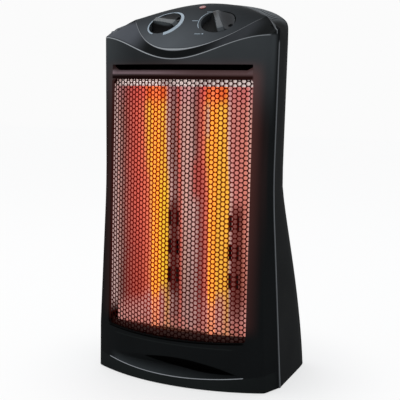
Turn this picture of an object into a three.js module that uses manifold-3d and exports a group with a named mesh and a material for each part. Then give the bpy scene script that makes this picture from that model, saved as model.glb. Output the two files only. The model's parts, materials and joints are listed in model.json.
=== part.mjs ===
// Upright quartz heater: a bowed front moulding with a honeycomb grille, a flared rear moulding, and the
// radiant tubes, reflectors, fan and controls that the two hold between them.
// Millimetres, +Z up, front towards -Y. Within the heater's group y = 0 is the seam between the mouldings.
import * as THREE from 'three';
import { mergeVertices } from 'three/addons/utils/BufferGeometryUtils.js';
import Module from 'manifold-3d';

const wasm = await Module();
wasm.setup();
const { lerp, clamp, degToRad } = THREE.MathUtils;
const quarterTurn = Math.PI / 2;
const hexRatio = Math.sqrt(3); // corner to corner over half of flat to flat

// Fits, walls and stock
const fit = 0.3; // gap between neighbours
const overrun = 20; // how far a cutter passes the face that it cuts
const wall = 2.8; // moulded wall
const sheet = 1.2; // folded sheet metal
const mergeTolerance = 1e-4;

// Housing
const height = 585.6;
const rimLift = 1.5; // lower edge of the mouldings above the floor
const waistHeight = 303;
const shoulderDrop = 60.6;
const shoulderFoot = height - shoulderDrop; // where the side walls reach their width at the top
const seamHalfBase = 157.6;
const waistIn = 17.8;
const topOut = 4.9;
const seamHalfWaist = seamHalfBase - waistIn;
const seamHalfTop = seamHalfWaist + topOut;
const cornerInBase = 10.3;
const cornerInWaist = 6;
const cornerInTop = 3.3;
const cornerHalfBase = seamHalfBase - cornerInBase;
const cornerHalfWaist = seamHalfWaist - cornerInWaist;
const cornerHalfTop = seamHalfTop - cornerInTop;
const cornerRound = 5;
const bowRadius = 320;
const sillHeight = 74;
const frontReachBase = 73.2;
const frontReachSill = 75.4;
const frontReachTop = 60;
const rearReachBase = 148;
const rearReachTop = 90;
const rearSquareBase = 14; // powers of the rear plan's superellipse
const rearSquareTop = 5.6;
const rearTaperShare = 0.09;
const flarePower = 1.2;
const beadWidth = 3;
const beadRise = 0.8;

// Top: the band where the two mouldings meet, the arch behind it, and the round of the back edge
const backRound = 20;
const archY = rearReachTop - backRound;
const bandLand = 4; // along the top, from the band to the arch
const bandReach = archY - bandLand;
const bandIn = 7.7;
const bandHalf = seamHalfTop - bandIn;
const bandPower = 2.3;
const bandInTop = 1.1;
const bandHalfTop = seamHalfTop - bandInTop;
const bandDrop = 43.8;
const bandDropPower = 2.15;
const bandRollPower = 3;
const archIn = 9.2;
const archHalf = seamHalfTop - archIn;
const archDrop = 0.6;
const archRise = 105;
const archFoot = height - archDrop - archRise;
const archPower = 1.84;
const archRoundPower = 6;
const backSpread = 200; // how fast the form behind the sides spreads to clear the flared base

// Console
const panelDrop = 24.6;
const panelHeight = height - panelDrop; // at the seam's plane
const panelSlope = 0.864;
const panelTilt = Math.atan(panelSlope);
const panelBendRadius = 78.125; // flattens the panel from the knobs up to the crest
const bendShare = 0.42; // of the panel's depth, where its flat part ends
const crownDrop = 18;
const crownIn = 9.7;
const crownHalf = seamHalfTop - crownIn;
const crownPower = 1.4;
const creaseDrop = 89.3;
const creaseLow = height - creaseDrop;
const creaseRise = 34.5;
const ridgeFront = -57.5;
const ridgeRadius = 85;

// Window, outlet slot and toe scoop
const slotDrop = 97.1;
const slotOpening = 8.5;
const slotLipDrop = 6;
const slotHigh = height - slotDrop;
const slotSill = slotHigh - slotOpening;
const slotLow = slotSill - slotLipDrop;
const windowBelowSlot = 7;
const windowIn = 12.8;
const windowHalf = cornerHalfWaist - windowIn;
const windowSill = 4;
const windowLow = sillHeight + windowSill;
const windowHigh = slotLow - windowBelowSlot;
const windowRound = 6;
const windowSag = 3.5;
const jambWall = 2.2;
const jambDepth = 8;
const slotIn = 1;
const slotHalf = windowHalf - slotIn;
const slotTaper = 10;
const slotLipDepth = 7;
const scoopIn = 3;
const scoopHalf = windowHalf - scoopIn;
const scoopHigh = 46;
const scoopMidShare = 0.6;
const scoopEndShare = 0.04;
const scoopDepth = 14;
const toeEnd = 24;
const toeSag = 7;

// Grille
const cellPitch = 27.6;
const cellWeb = 3.6;
const grilleThick = 1.2;
const grilleSetback = 5.5;
const grilleRim = 2.4;

// Radiant works
const tubeX = 50;
const tubeY = -24;
const tubeRadius = 6;
const tubeWall = 1.1;
const coilRadius = 3;
const coilWire = 1;
const coilTurns = 13;
const coilLead = 14;
const capRadius = 9.5;
const capFlangeRadius = 12.5;
const capFlange = 3;
const capHeight = 20;
const capSocket = 9;
const leadStub = 3; // how far a coil's lead stands out of its cap
const topPlateDrop = 11;
const topPlateHeight = windowHigh - topPlateDrop;
const floorPlateDrop = 2;
const floorPlateHeight = windowLow - floorPlateDrop;
const plateClearance = 1.6; // behind the jamb
const plateSetback = jambDepth + plateClearance;
const plateFlange = 10;
const plateIn = 4;
const plateHalf = windowHalf - plateIn;
const reflectorBackY = 44;
const troughPower = 2.4;
const reflectorRidgeY = -6;
const reflectorSkin = 1;
const reflectorClearance = 4.5; // behind the grille
const reflectorEdgeY = frontY(plateHalf, topPlateHeight) + grilleSetback + grilleThick + reflectorClearance;
const ventWidth = 5;
const ventHeight = 25;
const ventPitch = 47;
const ventSpread = 7;
const ventOut = 5; // from the tube's plane, away from the middle
const chassisIn = 9;
const chassisHalf = windowHalf - chassisIn;
const chassisLift = 11;
const chassisTop = windowHigh + chassisLift;

// Fan
const fanHeight = 200;
const ventDrop = 6;
const ventMid = fanHeight - ventDrop; // the vents stand before the fan
const fanSize = 118;
const fanDepth = 26;
const fanRim = 6;
const fanBore = fanSize / 2 - fanRim;
const tipClearance = 2;
const fanTip = fanBore - tipClearance;
const hubRadius = 17;
const hubDepth = 16;
const bladeCount = 7;
const bladeThick = 1.6;
const bladePitch = degToRad(34);
const spokeCount = 4;
const spokeWidth = 6;
const spokeDepth = 3;
const motorSeat = 20;
const motorRadius = 19;
const motorLength = 26;
const fanShaftRadius = 2.5;
const fanShaftReach = 16;

// Controls
const knobX = 46;
const knobY = -4;
const knobRadius = 26.5;
const knobRound = 2;
const knobProud = 4.5;
const gripHalf = 5;
const scoopRadius = 15;
const wellClearance = 1.5;
const wellRadius = knobRadius + wellClearance;
const wellDepth = 11;
const shaftRadius = 3;
const thermostatAngle = degToRad(-23);
const selectorAngle = degToRad(-56);
const thermostatRadius = 15;
const thermostatLength = 20;
const selectorSize = 26;
const selectorLength = 22;
const terminalWidth = 6;
const terminalThick = 0.8;
const terminalReach = 8;
const lampX = 5;
const lampY = 24;
const lampRadius = 4;
const lampHead = 5;
const lampHeadThick = 1.6;
const lampLength = 16;
const lampCollar = 6.5;
const lampClearance = 1.6; // the panel bends over the holder's rim

// Base
const footRadius = 11;
const footHeight = 4;
const footInFront = 39.6;
const footInRear = 45.6;
const footBack = 30;
const footFrontX = seamHalfBase - footInFront;
const footInToe = 26.7;
const footFrontY = frontY(footFrontX, rimLift) + footInToe;
const footRearX = seamHalfBase - footInRear;
const footRearY = rearReachBase - footBack;
const basePlateThick = 2;
const tipX = -70;
const tipY = 72;
const tipWidth = 30;
const tipDepth = 18;
const tipHeight = 36;
const plungerRadius = 3.5;
const plungerTravel = 6;
const cutoutIn = 28;
const cutoutX = chassisHalf - cutoutIn;
const cutoutDrop = 56;
const cutoutHeight = topPlateHeight - cutoutDrop;
const cutoutRadius = 9;
const cutoutDepth = 8;

// Rear moulding
const louvreHalf = 56;
const louvreGap = 6;
const louvreHeight = 5;
const louvrePitch = 12;
const louvreCount = 8;
const gripPocketHalf = 52;
const gripPocketDrop = 93.6;
const gripPocketOpening = 30;
const gripPocketHigh = height - gripPocketDrop;
const gripPocketLow = gripPocketHigh - gripPocketOpening;
const gripPocketDepth = 24;
const ribIn = 7.9;
const ribPitch = 8.6;
const ribCount = 7;
const ribLast = archHalf - ribIn;
const ribFirst = ribLast - ribPitch * (ribCount - 1);
const ribSlot = 3.4;
const ribLand = 5;
const ribBackLand = 4;
const ribRear = archY + ribBackLand;
const ribDrop = 63.6;
const ribFoot = height - ribDrop;
const glandIn = 65.6;
const glandX = glandIn - seamHalfBase;
const glandHeight = 34;
const glandRadius = 6;
const glandFlange = 9;
const glandFlangeThick = 1.8;
const glandBore = 3.6;
const glandClearance = 1.2; // the wall leans and turns across the bush's flanges

// Faceting
const bowSteps = 6;
const cornerSteps = 2;
const sideSteps = 3;
const rearSteps = 5;
const panelSteps = 5;
const backSteps = 3;
const topStations = 12;
const roundSides = 24;
const smallSides = 14;
const arcSteps = 3;
const troughSteps = 7;
const slenderShare = 1e-6;

// Closed triangle mesh to solid and back
function toSolid(geometry) {
  const bare = geometry.clone();
  bare.deleteAttribute('normal');
  bare.deleteAttribute('uv');
  const merged = mergeVertices(bare, mergeTolerance);
  const vertProperties = merged.attributes.position.array;
  const triVerts = new Uint32Array(merged.index.array);
  return new wasm.Manifold(new wasm.Mesh({ numProp: 3, vertProperties, triVerts }));
}

function toGeometry(solid) {
  const mesh = solid.getMesh();
  const geometry = new THREE.BufferGeometry();
  geometry.setAttribute('position', new THREE.BufferAttribute(mesh.vertProperties, 3));
  geometry.setIndex(new THREE.BufferAttribute(mesh.triVerts, 1));
  geometry.computeVertexNormals();
  return geometry;
}

// Turns an indexed closed mesh so that its faces point out, by the sign of its volume
function facingOut(geometry) {
  const { position } = geometry.attributes;
  const index = geometry.index.array;
  const corner = (i) => new THREE.Vector3().fromBufferAttribute(position, index[i]);
  let volume = 0;
  for (let i = 0; i < index.length; i += 3) {
    volume += corner(i).dot(corner(i + 1).cross(corner(i + 2)));
  }
  if (volume < 0) index.reverse();
  geometry.computeVertexNormals();
  return geometry;
}

// Closed loft through rings of equal count; flat() lays a ring out in two dimensions for its end cap
function loft(rings, flat) {
  const count = rings[0].length;
  const last = (rings.length - 1) * count;
  const positions = rings.flat().flatMap((point) => point.toArray());
  const index = [];
  for (let r = 0; r + 1 < rings.length; r += 1) {
    for (let i = 0; i < count; i += 1) {
      const a = r * count + i;
      const b = r * count + ((i + 1) % count);
      index.push(a, b, b + count, a, b + count, a + count);
    }
  }
  const start = THREE.ShapeUtils.triangulateShape(rings[0].map(flat), []);
  const end = THREE.ShapeUtils.triangulateShape(rings[rings.length - 1].map(flat), []);
  const turned = THREE.ShapeUtils.isClockWise(rings[0].map(flat));
  for (const [a, b, c] of start) index.push(...(turned ? [a, b, c] : [c, b, a]));
  for (const [a, b, c] of end) index.push(...(turned ? [c, b, a] : [a, b, c]).map((i) => i + last));
  const geometry = new THREE.BufferGeometry();
  geometry.setAttribute('position', new THREE.Float32BufferAttribute(positions, 3));
  geometry.setIndex(index);
  return facingOut(geometry);
}

const planView = (point) => new THREE.Vector2(point.x, point.y);
const sideView = (point) => new THREE.Vector2(point.y, point.z);

// Simple solids, each placed by its own corner or axis
function block(x0, x1, y0, y1, z0, z1) {
  const geometry = new THREE.BoxGeometry(x1 - x0, y1 - y0, z1 - z0);
  return geometry.translate((x0 + x1) / 2, (y0 + y1) / 2, (z0 + z1) / 2);
}

function upright(radius, z0, z1, x = 0, y = 0, sides = roundSides) {
  const geometry = new THREE.CylinderGeometry(radius, radius, z1 - z0, sides);
  return geometry.rotateX(quarterTurn).translate(x, y, (z0 + z1) / 2);
}

function turned(profile, sides = roundSides) {
  const points = profile.map(([radius, z]) => new THREE.Vector2(radius, z));
  return facingOut(new THREE.LatheGeometry(points, sides).rotateX(quarterTurn));
}

// Flat outline given in x and z, as a slab from yFront to yBack
function slab(shape, yFront, yBack) {
  const geometry = new THREE.ExtrudeGeometry(shape, {
    depth: yBack - yFront, bevelEnabled: false, curveSegments: roundSides / 2,
  });
  return geometry.rotateX(quarterTurn).translate(0, yBack, 0);
}

// Flat outline given in x and y, as a plate from z0 up to z1
function plate(shape, z0, z1) {
  const geometry = new THREE.ExtrudeGeometry(shape, {
    depth: z1 - z0, bevelEnabled: false, curveSegments: smallSides / 2,
  });
  return geometry.translate(0, 0, z0);
}

// Housing form: half widths, the bowed and leaning front, and the rear that flares to the base
function waisted(z, base, waist, top) {
  if (z < waistHeight) return lerp(base, waist, z / waistHeight);
  return lerp(waist, top, Math.min((z - waistHeight) / (shoulderFoot - waistHeight), 1));
}

function bowRise(x) {
  return bowRadius - Math.sqrt(bowRadius ** 2 - x ** 2);
}

function frontReach(z) {
  if (z < sillHeight) return lerp(frontReachBase, frontReachSill, z / sillHeight);
  return lerp(frontReachSill, frontReachTop, (z - sillHeight) / (shoulderFoot - sillHeight));
}

function frontY(x, z) {
  return bowRise(x) - frontReach(z);
}

function flareShare(z) {
  return clamp((waistHeight - z) / waistHeight, 0, 1);
}

function rearReach(z) {
  return lerp(rearReachTop, rearReachBase, Math.sin(flareShare(z) * quarterTurn) ** flarePower);
}

function rearSquare(z) {
  return lerp(rearSquareTop, rearSquareBase, flareShare(z));
}

// Half plan of the housing at a height, from the front's middle round to the rear's middle
function halfPlan(z, inset, proud) {
  const seamX = waisted(z, seamHalfBase, seamHalfWaist, seamHalfTop) - inset;
  const cornerX = waisted(z, cornerHalfBase, cornerHalfWaist, cornerHalfTop) - inset;
  const points = [];
  const round = Math.max(cornerRound - inset, fit);
  const bowEnd = cornerX - round;
  for (let i = 0; i < bowSteps; i += 1) {
    const x = (bowEnd * i) / bowSteps;
    points.push(new THREE.Vector2(x, frontY(x, z) + inset));
  }
  const start = new THREE.Vector2(bowEnd, frontY(bowEnd, z) + inset);
  const corner = new THREE.Vector2(cornerX, frontY(cornerX, z) + inset);
  const seam = new THREE.Vector2(seamX, 0);
  const end = corner.clone().lerp(seam, round / corner.distanceTo(seam));
  points.push(...new THREE.QuadraticBezierCurve(start, corner, end).getPoints(cornerSteps));
  const beadStart = corner.clone().lerp(seam, 1 - (beadWidth + beadRise) / corner.distanceTo(seam));
  points.push(beadStart, new THREE.Vector2(seamX + proud, -beadWidth), new THREE.Vector2(seamX + proud, 0));
  const reach = rearReach(z) - inset;
  const power = rearSquare(z);
  const firstShare = Math.sin(quarterTurn / rearSteps) ** (2 / power);
  const shares = [];
  for (let k = 0; k < sideSteps; k += 1) shares.push((firstShare * k) / sideSteps);
  for (let i = 1; i <= rearSteps; i += 1) shares.push(Math.sin((quarterTurn * i) / rearSteps) ** (2 / power));
  for (const share of shares) {
    const x = seamX * (1 - share ** power) ** (1 / power) * (1 - rearTaperShare * share);
    points.push(new THREE.Vector2(x, Math.max(reach * share, fit / 3)));
  }
  return points;
}

function mirrored(half) {
  const back = half.slice(1, -1).reverse();
  return [...half, ...back.map((point) => new THREE.Vector2(-point.x, point.y))];
}

// Heights of the housing's sections
function bodyLevels(foot) {
  const middle = [1 / 3, 2 / 3].map((share) => lerp(sillHeight, waistHeight, share));
  const above = [waistHeight, (waistHeight + shoulderFoot) / 2, shoulderFoot, height + overrun];
  const levels = [rimLift, sillHeight, ...middle, ...above];
  return foot < rimLift ? [foot, ...levels] : levels;
}

// Where the rear wall's outer face stands at (x, z), between the sections that it is lofted through
function rearY(x, z) {
  const levels = bodyLevels(rimLift);
  const k = levels.findIndex((level) => level > z);
  const [low, high] = [levels[k - 1], levels[k]].map((level) => {
    const half = halfPlan(level, 0, 0);
    const i = half.findLastIndex((point) => point.x >= Math.abs(x));
    return lerp(half[i].y, half[i + 1].y, (half[i].x - Math.abs(x)) / (half[i].x - half[i + 1].x));
  });
  return lerp(low, high, (z - levels[k - 1]) / (levels[k] - levels[k - 1]));
}

// The housing's walls as one closed form, drawn in by an inset and open to any top
function wallForm(inset, foot) {
  const bead = inset > 0 ? 0 : beadRise;
  const rings = bodyLevels(foot).map((z) => {
    return mirrored(halfPlan(z, inset, bead)).map((p) => new THREE.Vector3(p.x, p.y, z));
  });
  return toSolid(loft(rings, planView));
}

// Console surface: a sloping crowned panel, a ridge round its front, and a lip down to the front's crease
function panelZ(x, y) {
  const bend = Math.max(y - knobY, 0) ** 2 / (2 * panelBendRadius);
  return panelHeight + panelSlope * y - bend - crownDrop * Math.min(Math.abs(x) / crownHalf, 1) ** crownPower;
}

function creaseZ(x) {
  const share = Math.min(Math.abs(x) / seamHalfTop, 1);
  return creaseLow + (creaseRise * (1 - Math.cos(Math.PI * share))) / 2;
}

function ridgeY(x) {
  return Math.min(ridgeFront + x ** 2 / (2 * ridgeRadius), bandY(x) - wall);
}

// Plan and height of the band, and height of the arch behind it
function bandY(x) {
  return bandReach * Math.max(1 - (Math.abs(x) / bandHalf) ** bandPower, 0);
}

function bandZ(x) {
  return height - bandDrop * (Math.abs(x) / bandHalfTop) ** bandDropPower;
}

function archZ(x) {
  const share = Math.min(Math.abs(x) / archHalf, 1);
  return archFoot + archRise * (1 - share ** archPower) ** (1 / archRoundPower);
}

// Everything below the top: lip, ridge and panel of the console, the band, the arch and the rounded back
// edge. The share runs from -1 to 1 across it, and a depth gives the skin's underside.
function topSection(share, depth) {
  const beyond = Math.max(Math.abs(share) - 1, 0) * Math.sign(share);
  const x = bandHalfTop * share;
  const rearX = archHalf * (share - beyond) + backSpread * beyond;
  const crease = frontY(clamp(x, -seamHalfTop, seamHalfTop), creaseZ(x));
  const arch = archZ(rearX);
  const band = bandY(x);
  const rear = rearReachBase + overrun;
  const foremost = crease - Math.max(frontReachBase, frontReachSill) - overrun;
  const roll = bandZ(x) - panelZ(x, band);
  const points = [[x, crease - overrun, creaseZ(x) - overrun], [x, crease, creaseZ(x)],
    [x, ridgeY(x), panelZ(x, ridgeY(x))]];
  const bendStart = lerp(ridgeY(x), band, bendShare);
  for (let k = 0; k <= panelSteps; k += 1) {
    const y = lerp(bendStart, band, k / panelSteps);
    points.push([x, y, panelZ(x, y) + roll * (k / panelSteps) ** bandRollPower]);
  }
  points.push([(x + rearX) / 2, (band + archY) / 2, lerp(arch, bandZ(x), 1 / 4)]);
  for (let k = 0; k <= backSteps; k += 1) {
    const angle = (quarterTurn * k) / backSteps;
    points.push([rearX, archY + backRound * Math.sin(angle), arch - backRound * (1 - Math.cos(angle))]);
  }
  points.push([rearX, rear, waistHeight], [rearX, rear, -overrun], [x, foremost, -overrun]);
  return points.map(([px, py, pz]) => new THREE.Vector3(
    px * (1 - depth / bandHalfTop),
    py + depth * Math.sin(panelTilt),
    pz > 0 ? pz - depth * Math.cos(panelTilt) : pz,
  ));
}

function underTop(depth) {
  const rings = [];
  for (let k = -topStations; k <= topStations; k += 1) {
    rings.push(topSection(Math.sin((quarterTurn * k) / topStations), depth));
  }
  const edge = (seamHalfBase + overrun) / bandHalfTop;
  rings.unshift(topSection(-edge, depth));
  rings.push(topSection(edge, depth));
  return toSolid(loft(rings, sideView));
}

// Everything in front of the joint between the mouldings: the seam at the sides, the band over the top
function beforeSeam(gap) {
  const side = seamHalfBase + overrun;
  const front = -frontReachSill - overrun;
  const shape = new THREE.Shape();
  shape.moveTo(-side, front);
  shape.lineTo(side, front);
  shape.lineTo(side, gap);
  for (let k = topStations; k >= -topStations; k -= 1) {
    const x = bandHalf * Math.sin((quarterTurn * k) / topStations);
    shape.lineTo(x, bandY(x) + gap);
  }
  shape.lineTo(-side, gap);
  shape.closePath();
  return toSolid(plate(shape, -overrun, height + overrun));
}

// Window outline in x and z, grown or shrunk, with its lower edge sagging
function windowPoints(grow) {
  const half = windowHalf + grow;
  const low = windowLow - grow;
  const high = windowHigh + grow;
  const round = Math.max(windowRound + grow, fit);
  const flat = half - round;
  const points = [];
  const arc = (x, z, from) => {
    for (let i = 0; i <= arcSteps; i += 1) {
      const angle = from + (quarterTurn * i) / arcSteps;
      points.push(new THREE.Vector2(x + round * Math.cos(angle), z + round * Math.sin(angle)));
    }
  };
  const edge = (from, to, z) => {
    for (let i = 1; i < 2 * bowSteps; i += 1) {
      points.push(new THREE.Vector2(lerp(from, to, i / (2 * bowSteps)), z));
    }
  };
  edge(-flat, flat, low);
  arc(flat, low + round, -quarterTurn);
  arc(flat, high - round, 0);
  edge(flat, -flat, high);
  arc(-flat, high - round, quarterTurn);
  arc(-flat, low + round, 2 * quarterTurn);
  for (const point of points) {
    if (point.y < low + round) point.y -= windowSag * (1 - (point.x / half) ** 2);
  }
  return points;
}

// A block behind the bowed front, between two depths, whose lower face may sag towards its middle
function bowedBlock(half, low, high, sag, depthFront, depthBack) {
  const rings = [];
  for (let i = 0; i <= 2 * bowSteps; i += 1) {
    const x = lerp(-half, half, i / (2 * bowSteps));
    const foot = low - sag * (1 - (x / half) ** 2);
    rings.push([[depthFront, foot], [depthBack, foot], [depthBack, high], [depthFront, high]]
      .map(([depth, z]) => new THREE.Vector3(x, frontY(x, z) + depth, z)));
  }
  return toSolid(loft(rings, sideView));
}

// Outlet slot over the window: a sloping lip that leads into a level slot, thinner at its ends
function outletSlot() {
  const stations = [-slotHalf, -slotHalf + slotTaper];
  for (let i = 1; i < 2 * bowSteps; i += 1) {
    stations.push(lerp(-slotHalf + slotTaper, slotHalf - slotTaper, i / (2 * bowSteps)));
  }
  stations.push(slotHalf - slotTaper, slotHalf);
  const lipSlope = (slotSill - slotLow) / slotLipDepth;
  const rings = stations.map((x) => {
    const low = Math.abs(x) === slotHalf ? slotSill : slotLow;
    const y = frontY(x, slotLow);
    const front = y - jambDepth;
    return [
      [front, low - jambDepth * lipSlope],
      [y + slotLipDepth, low + slotLipDepth * lipSlope],
      [y + overrun, low + slotLipDepth * lipSlope],
      [y + overrun, slotHigh],
      [front, slotHigh],
    ].map(([py, pz]) => new THREE.Vector3(x, py, Math.min(pz, slotHigh)));
  });
  return toSolid(loft(rings, sideView));
}

// Toe scoop: a crescent hollow with a sloping shelf that ends at the toe's edge, or the skin behind it
function toeScoop(skin) {
  const rings = [];
  for (let k = 0; k <= 2 * bowSteps; k += 1) {
    const x = lerp(-scoopHalf, scoopHalf, k / (2 * bowSteps));
    const share = Math.max(1 - (x / scoopHalf) ** 2, scoopEndShare);
    const y = frontY(x, scoopHigh);
    const edge = toeEnd - toeSag * share;
    const high = lerp(edge, scoopHigh, Math.sqrt(share));
    const inner = y + scoopDepth * share + skin;
    const mid = lerp(edge, high, scoopMidShare);
    const cut = [[y - overrun, high], [y, high], [inner, mid + fit], [inner, mid - fit], [y, edge],
      [y - overrun, edge]];
    const backing = [[y + skin / 2, high + skin], [inner, mid + skin], [inner, mid - skin],
      [y + skin / 2, edge - skin]];
    rings.push((skin > 0 ? backing : cut).map(([py, pz]) => new THREE.Vector3(x, py, pz)));
  }
  return toSolid(loft(rings, sideView));
}

// A frame on the console at (x, y): +Z out of the panel, +Y up its slope
function consoleFrame(x, y) {
  const frame = new THREE.Group();
  const crownSlope = (crownPower * crownDrop / crownHalf) * (Math.abs(x) / crownHalf) ** (crownPower - 1);
  const slope = panelSlope - Math.max(y - knobY, 0) / panelBendRadius;
  const out = new THREE.Vector3(Math.sign(x) * crownSlope, -slope, 1).normalize();
  const across = new THREE.Vector3(0, 1, 0).cross(out).normalize();
  const up = out.clone().cross(across);
  frame.quaternion.setFromRotationMatrix(new THREE.Matrix4().makeBasis(across, up, out));
  frame.position.set(x, y, panelZ(x, y));
  frame.updateMatrix();
  return frame;
}

const thermostatFrame = consoleFrame(-knobX, knobY);
const selectorFrame = consoleFrame(knobX, knobY);
const lampFrame = consoleFrame(lampX, lampY);

function inFrame(frame, geometry) {
  return toSolid(geometry.applyMatrix4(frame.matrix));
}

// Front moulding: bow, console skin, window jamb, outlet slot, toe scoop, knob wells and lamp hole
function frontShell(outer, cavity) {
  let shell = outer.subtract(cavity).intersect(beforeSeam(-fit / 2));
  shell = shell.add(bowedBlock(windowHalf + jambWall, windowLow - jambWall, slotHigh + jambWall, windowSag,
    wall / 2, jambDepth));
  shell = shell.add(toeScoop(wall));
  for (const frame of [thermostatFrame, selectorFrame]) {
    shell = shell.add(inFrame(frame, upright(wellRadius + wall, -wellDepth - wall, -wall / 2)));
    shell = shell.subtract(inFrame(frame, upright(wellRadius, -wellDepth, overrun)));
    shell = shell.subtract(inFrame(frame, upright(shaftRadius + fit, -wellDepth - overrun, overrun)));
  }
  shell = shell.subtract(inFrame(lampFrame, upright(lampRadius + fit, -overrun, overrun)));
  const windowCut = slab(new THREE.Shape(windowPoints(0)), -frontReachSill - overrun, 0);
  return shell.subtract(toSolid(windowCut)).subtract(outletSlot()).subtract(toeScoop(0));
}

// Rear moulding: side walls and dome, intake louvres, grip pocket, shoulder slots and cord inlet
function rearShell(outer, cavity) {
  let shell = outer.subtract(cavity).subtract(beforeSeam(fit / 2));
  const pocketBack = rearReachTop + overrun;
  const pocketFront = rearReachTop - gripPocketDepth;
  shell = shell.add(outer.intersect(toSolid(block(-gripPocketHalf - wall, gripPocketHalf + wall,
    pocketFront - wall, pocketBack, gripPocketLow - wall, gripPocketHigh + wall))));
  shell = shell.subtract(toSolid(block(-gripPocketHalf, gripPocketHalf, pocketFront, pocketBack,
    gripPocketLow, gripPocketHigh)));
  const louvreLow = fanHeight - (louvrePitch * (louvreCount - 1) + louvreHeight) / 2;
  const louvreFront = rearReachTop;
  for (let k = 0; k < louvreCount; k += 1) {
    const z = louvreLow + louvrePitch * k;
    for (const [x0, x1] of [[-louvreHalf, -louvreGap / 2], [louvreGap / 2, louvreHalf]]) {
      shell = shell.subtract(toSolid(block(x0, x1, louvreFront, rearReachBase + overrun, z, z + louvreHeight)));
    }
  }
  for (let k = 0; k < ribCount; k += 1) {
    const x = ribFirst + ribPitch * k;
    for (const side of [-1, 1]) {
      const cut = block(side * x - ribSlot / 2, side * x + ribSlot / 2, bandY(x) + ribLand, ribRear,
        ribFoot, height + overrun);
      shell = shell.subtract(toSolid(cut));
    }
  }
  const inlet = upright(glandRadius + fit, rearReachTop, rearReachBase + overrun, glandX, -glandHeight);
  return shell.subtract(toSolid(inlet.rotateX(-quarterTurn)));
}

// Swaps the diagonal of neighbouring triangles wherever that makes them less slender
function evened(triangles, points) {
  const cotangent = (apex, a, b) => {
    const u = points[a].clone().sub(points[apex]);
    const v = points[b].clone().sub(points[apex]);
    return u.dot(v) / Math.abs(u.cross(v));
  };
  let swapped = true;
  while (swapped) {
    swapped = false;
    const owners = new Map();
    triangles.forEach((triangle, t) => {
      for (let k = 0; k < 3; k += 1) owners.set(`${triangle[k]},${triangle[(k + 1) % 3]}`, [t, triangle[(k + 2) % 3]]);
    });
    const touched = new Set();
    for (const [key, [t, apex]] of owners) {
      const [a, b] = key.split(',').map(Number);
      const other = owners.get(`${b},${a}`);
      if (!other || touched.has(t) || touched.has(other[0])) continue;
      if (cotangent(apex, a, b) + cotangent(other[1], a, b) > -slenderShare) continue;
      triangles[t] = [apex, a, other[1]];
      triangles[other[0]] = [other[1], b, apex];
      touched.add(t).add(other[0]);
      swapped = true;
    }
  }
  return triangles;
}

// A sheet with holes, outlined in x and z, between two depths behind the bowed front
function piercedSheet(contour, holes, depthFront, depthBack) {
  const points = [contour, ...holes].flat();
  const area = ([a, b, c]) => points[b].clone().sub(points[a]).cross(points[c].clone().sub(points[a]));
  const cut = THREE.ShapeUtils.triangulateShape(contour, holes);
  const triangles = evened(cut.map((t) => (area(t) < 0 ? [t[0], t[2], t[1]] : t)), points);
  const positions = [depthFront, depthBack].flatMap((depth) => {
    return points.flatMap((point) => [point.x, frontY(point.x, point.y) + depth, point.y]);
  });
  const count = points.length;
  const edges = new Set(triangles.flatMap(([a, b, c]) => [`${a},${b}`, `${b},${c}`, `${c},${a}`]));
  const index = triangles.flatMap(([a, b, c]) => [a, b, c, c + count, b + count, a + count]);
  for (const key of edges) {
    const [a, b] = key.split(',').map(Number);
    if (!edges.has(`${b},${a}`)) index.push(b, a, a + count, b, a + count, b + count);
  }
  const geometry = new THREE.BufferGeometry();
  geometry.setAttribute('position', new THREE.Float32BufferAttribute(positions, 3));
  geometry.setIndex(index);
  return facingOut(geometry);
}

// Honeycomb grille: a bowed sheet of hexagonal cells, inside the window's jamb
function grille() {
  const radius = (cellPitch - cellWeb) / hexRatio;
  const columnPitch = (cellPitch * hexRatio) / 2;
  const across = 2 * (windowHalf - fit - grilleRim - radius);
  const columns = Math.floor(across / columnPitch) + 1;
  const low = windowLow + fit + grilleRim;
  const high = windowHigh - fit - grilleRim;
  const rows = Math.floor((high - low) / cellPitch - 1 / 2);
  const foot = (low + high - (rows - 1 / 2) * cellPitch) / 2;
  const holes = [];
  for (let c = 0; c < columns; c += 1) {
    for (let r = 0; r < rows; r += 1) {
      const x = (c - (columns - 1) / 2) * columnPitch;
      const z = foot + (r + (c % 2) / 2) * cellPitch;
      const corners = [];
      for (let i = 0; i < 6; i += 1) {
        const angle = (Math.PI * i) / 3;
        corners.push(new THREE.Vector2(x + radius * Math.cos(angle), z + radius * Math.sin(angle)));
      }
      holes.push(corners);
    }
  }
  return piercedSheet(windowPoints(-fit), holes, grilleSetback, grilleSetback + grilleThick);
}

// Quartz tube, open at both ends, from inside the lower cap to inside the upper one
const tubeFoot = floorPlateHeight - fit - capSocket + fit;
const tubeHead = topPlateHeight + sheet + fit + capSocket - fit;

function quartzTube() {
  const inner = tubeRadius - tubeWall;
  return turned([[inner, tubeFoot], [tubeRadius, tubeFoot], [tubeRadius, tubeHead], [inner, tubeHead],
    [inner, tubeFoot]], smallSides);
}

// Heating coil: one unbroken wire, straight leads at both ends and a helix between them
const coilSteps = 8;
const coilSides = 5;
const leadReach = capHeight - capSocket + leadStub;

function coilPath() {
  const foot = tubeFoot + coilLead;
  const head = tubeHead - coilLead;
  const total = coilTurns * coilSteps;
  const points = [new THREE.Vector3(0, 0, tubeFoot - leadReach), new THREE.Vector3(0, 0, foot - coilWire)];
  for (let i = 0; i <= total; i += 1) {
    const angle = (2 * Math.PI * i) / coilSteps;
    const ramp = Math.min(1, (i + 1) / coilSteps, (total - i + 1) / coilSteps);
    const radius = coilRadius * Math.sin(ramp * quarterTurn);
    points.push(new THREE.Vector3(radius * Math.cos(angle), radius * Math.sin(angle), lerp(foot, head, i / total)));
  }
  points.push(new THREE.Vector3(0, 0, head + coilWire), new THREE.Vector3(0, 0, tubeHead + leadReach));
  return points;
}

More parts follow.
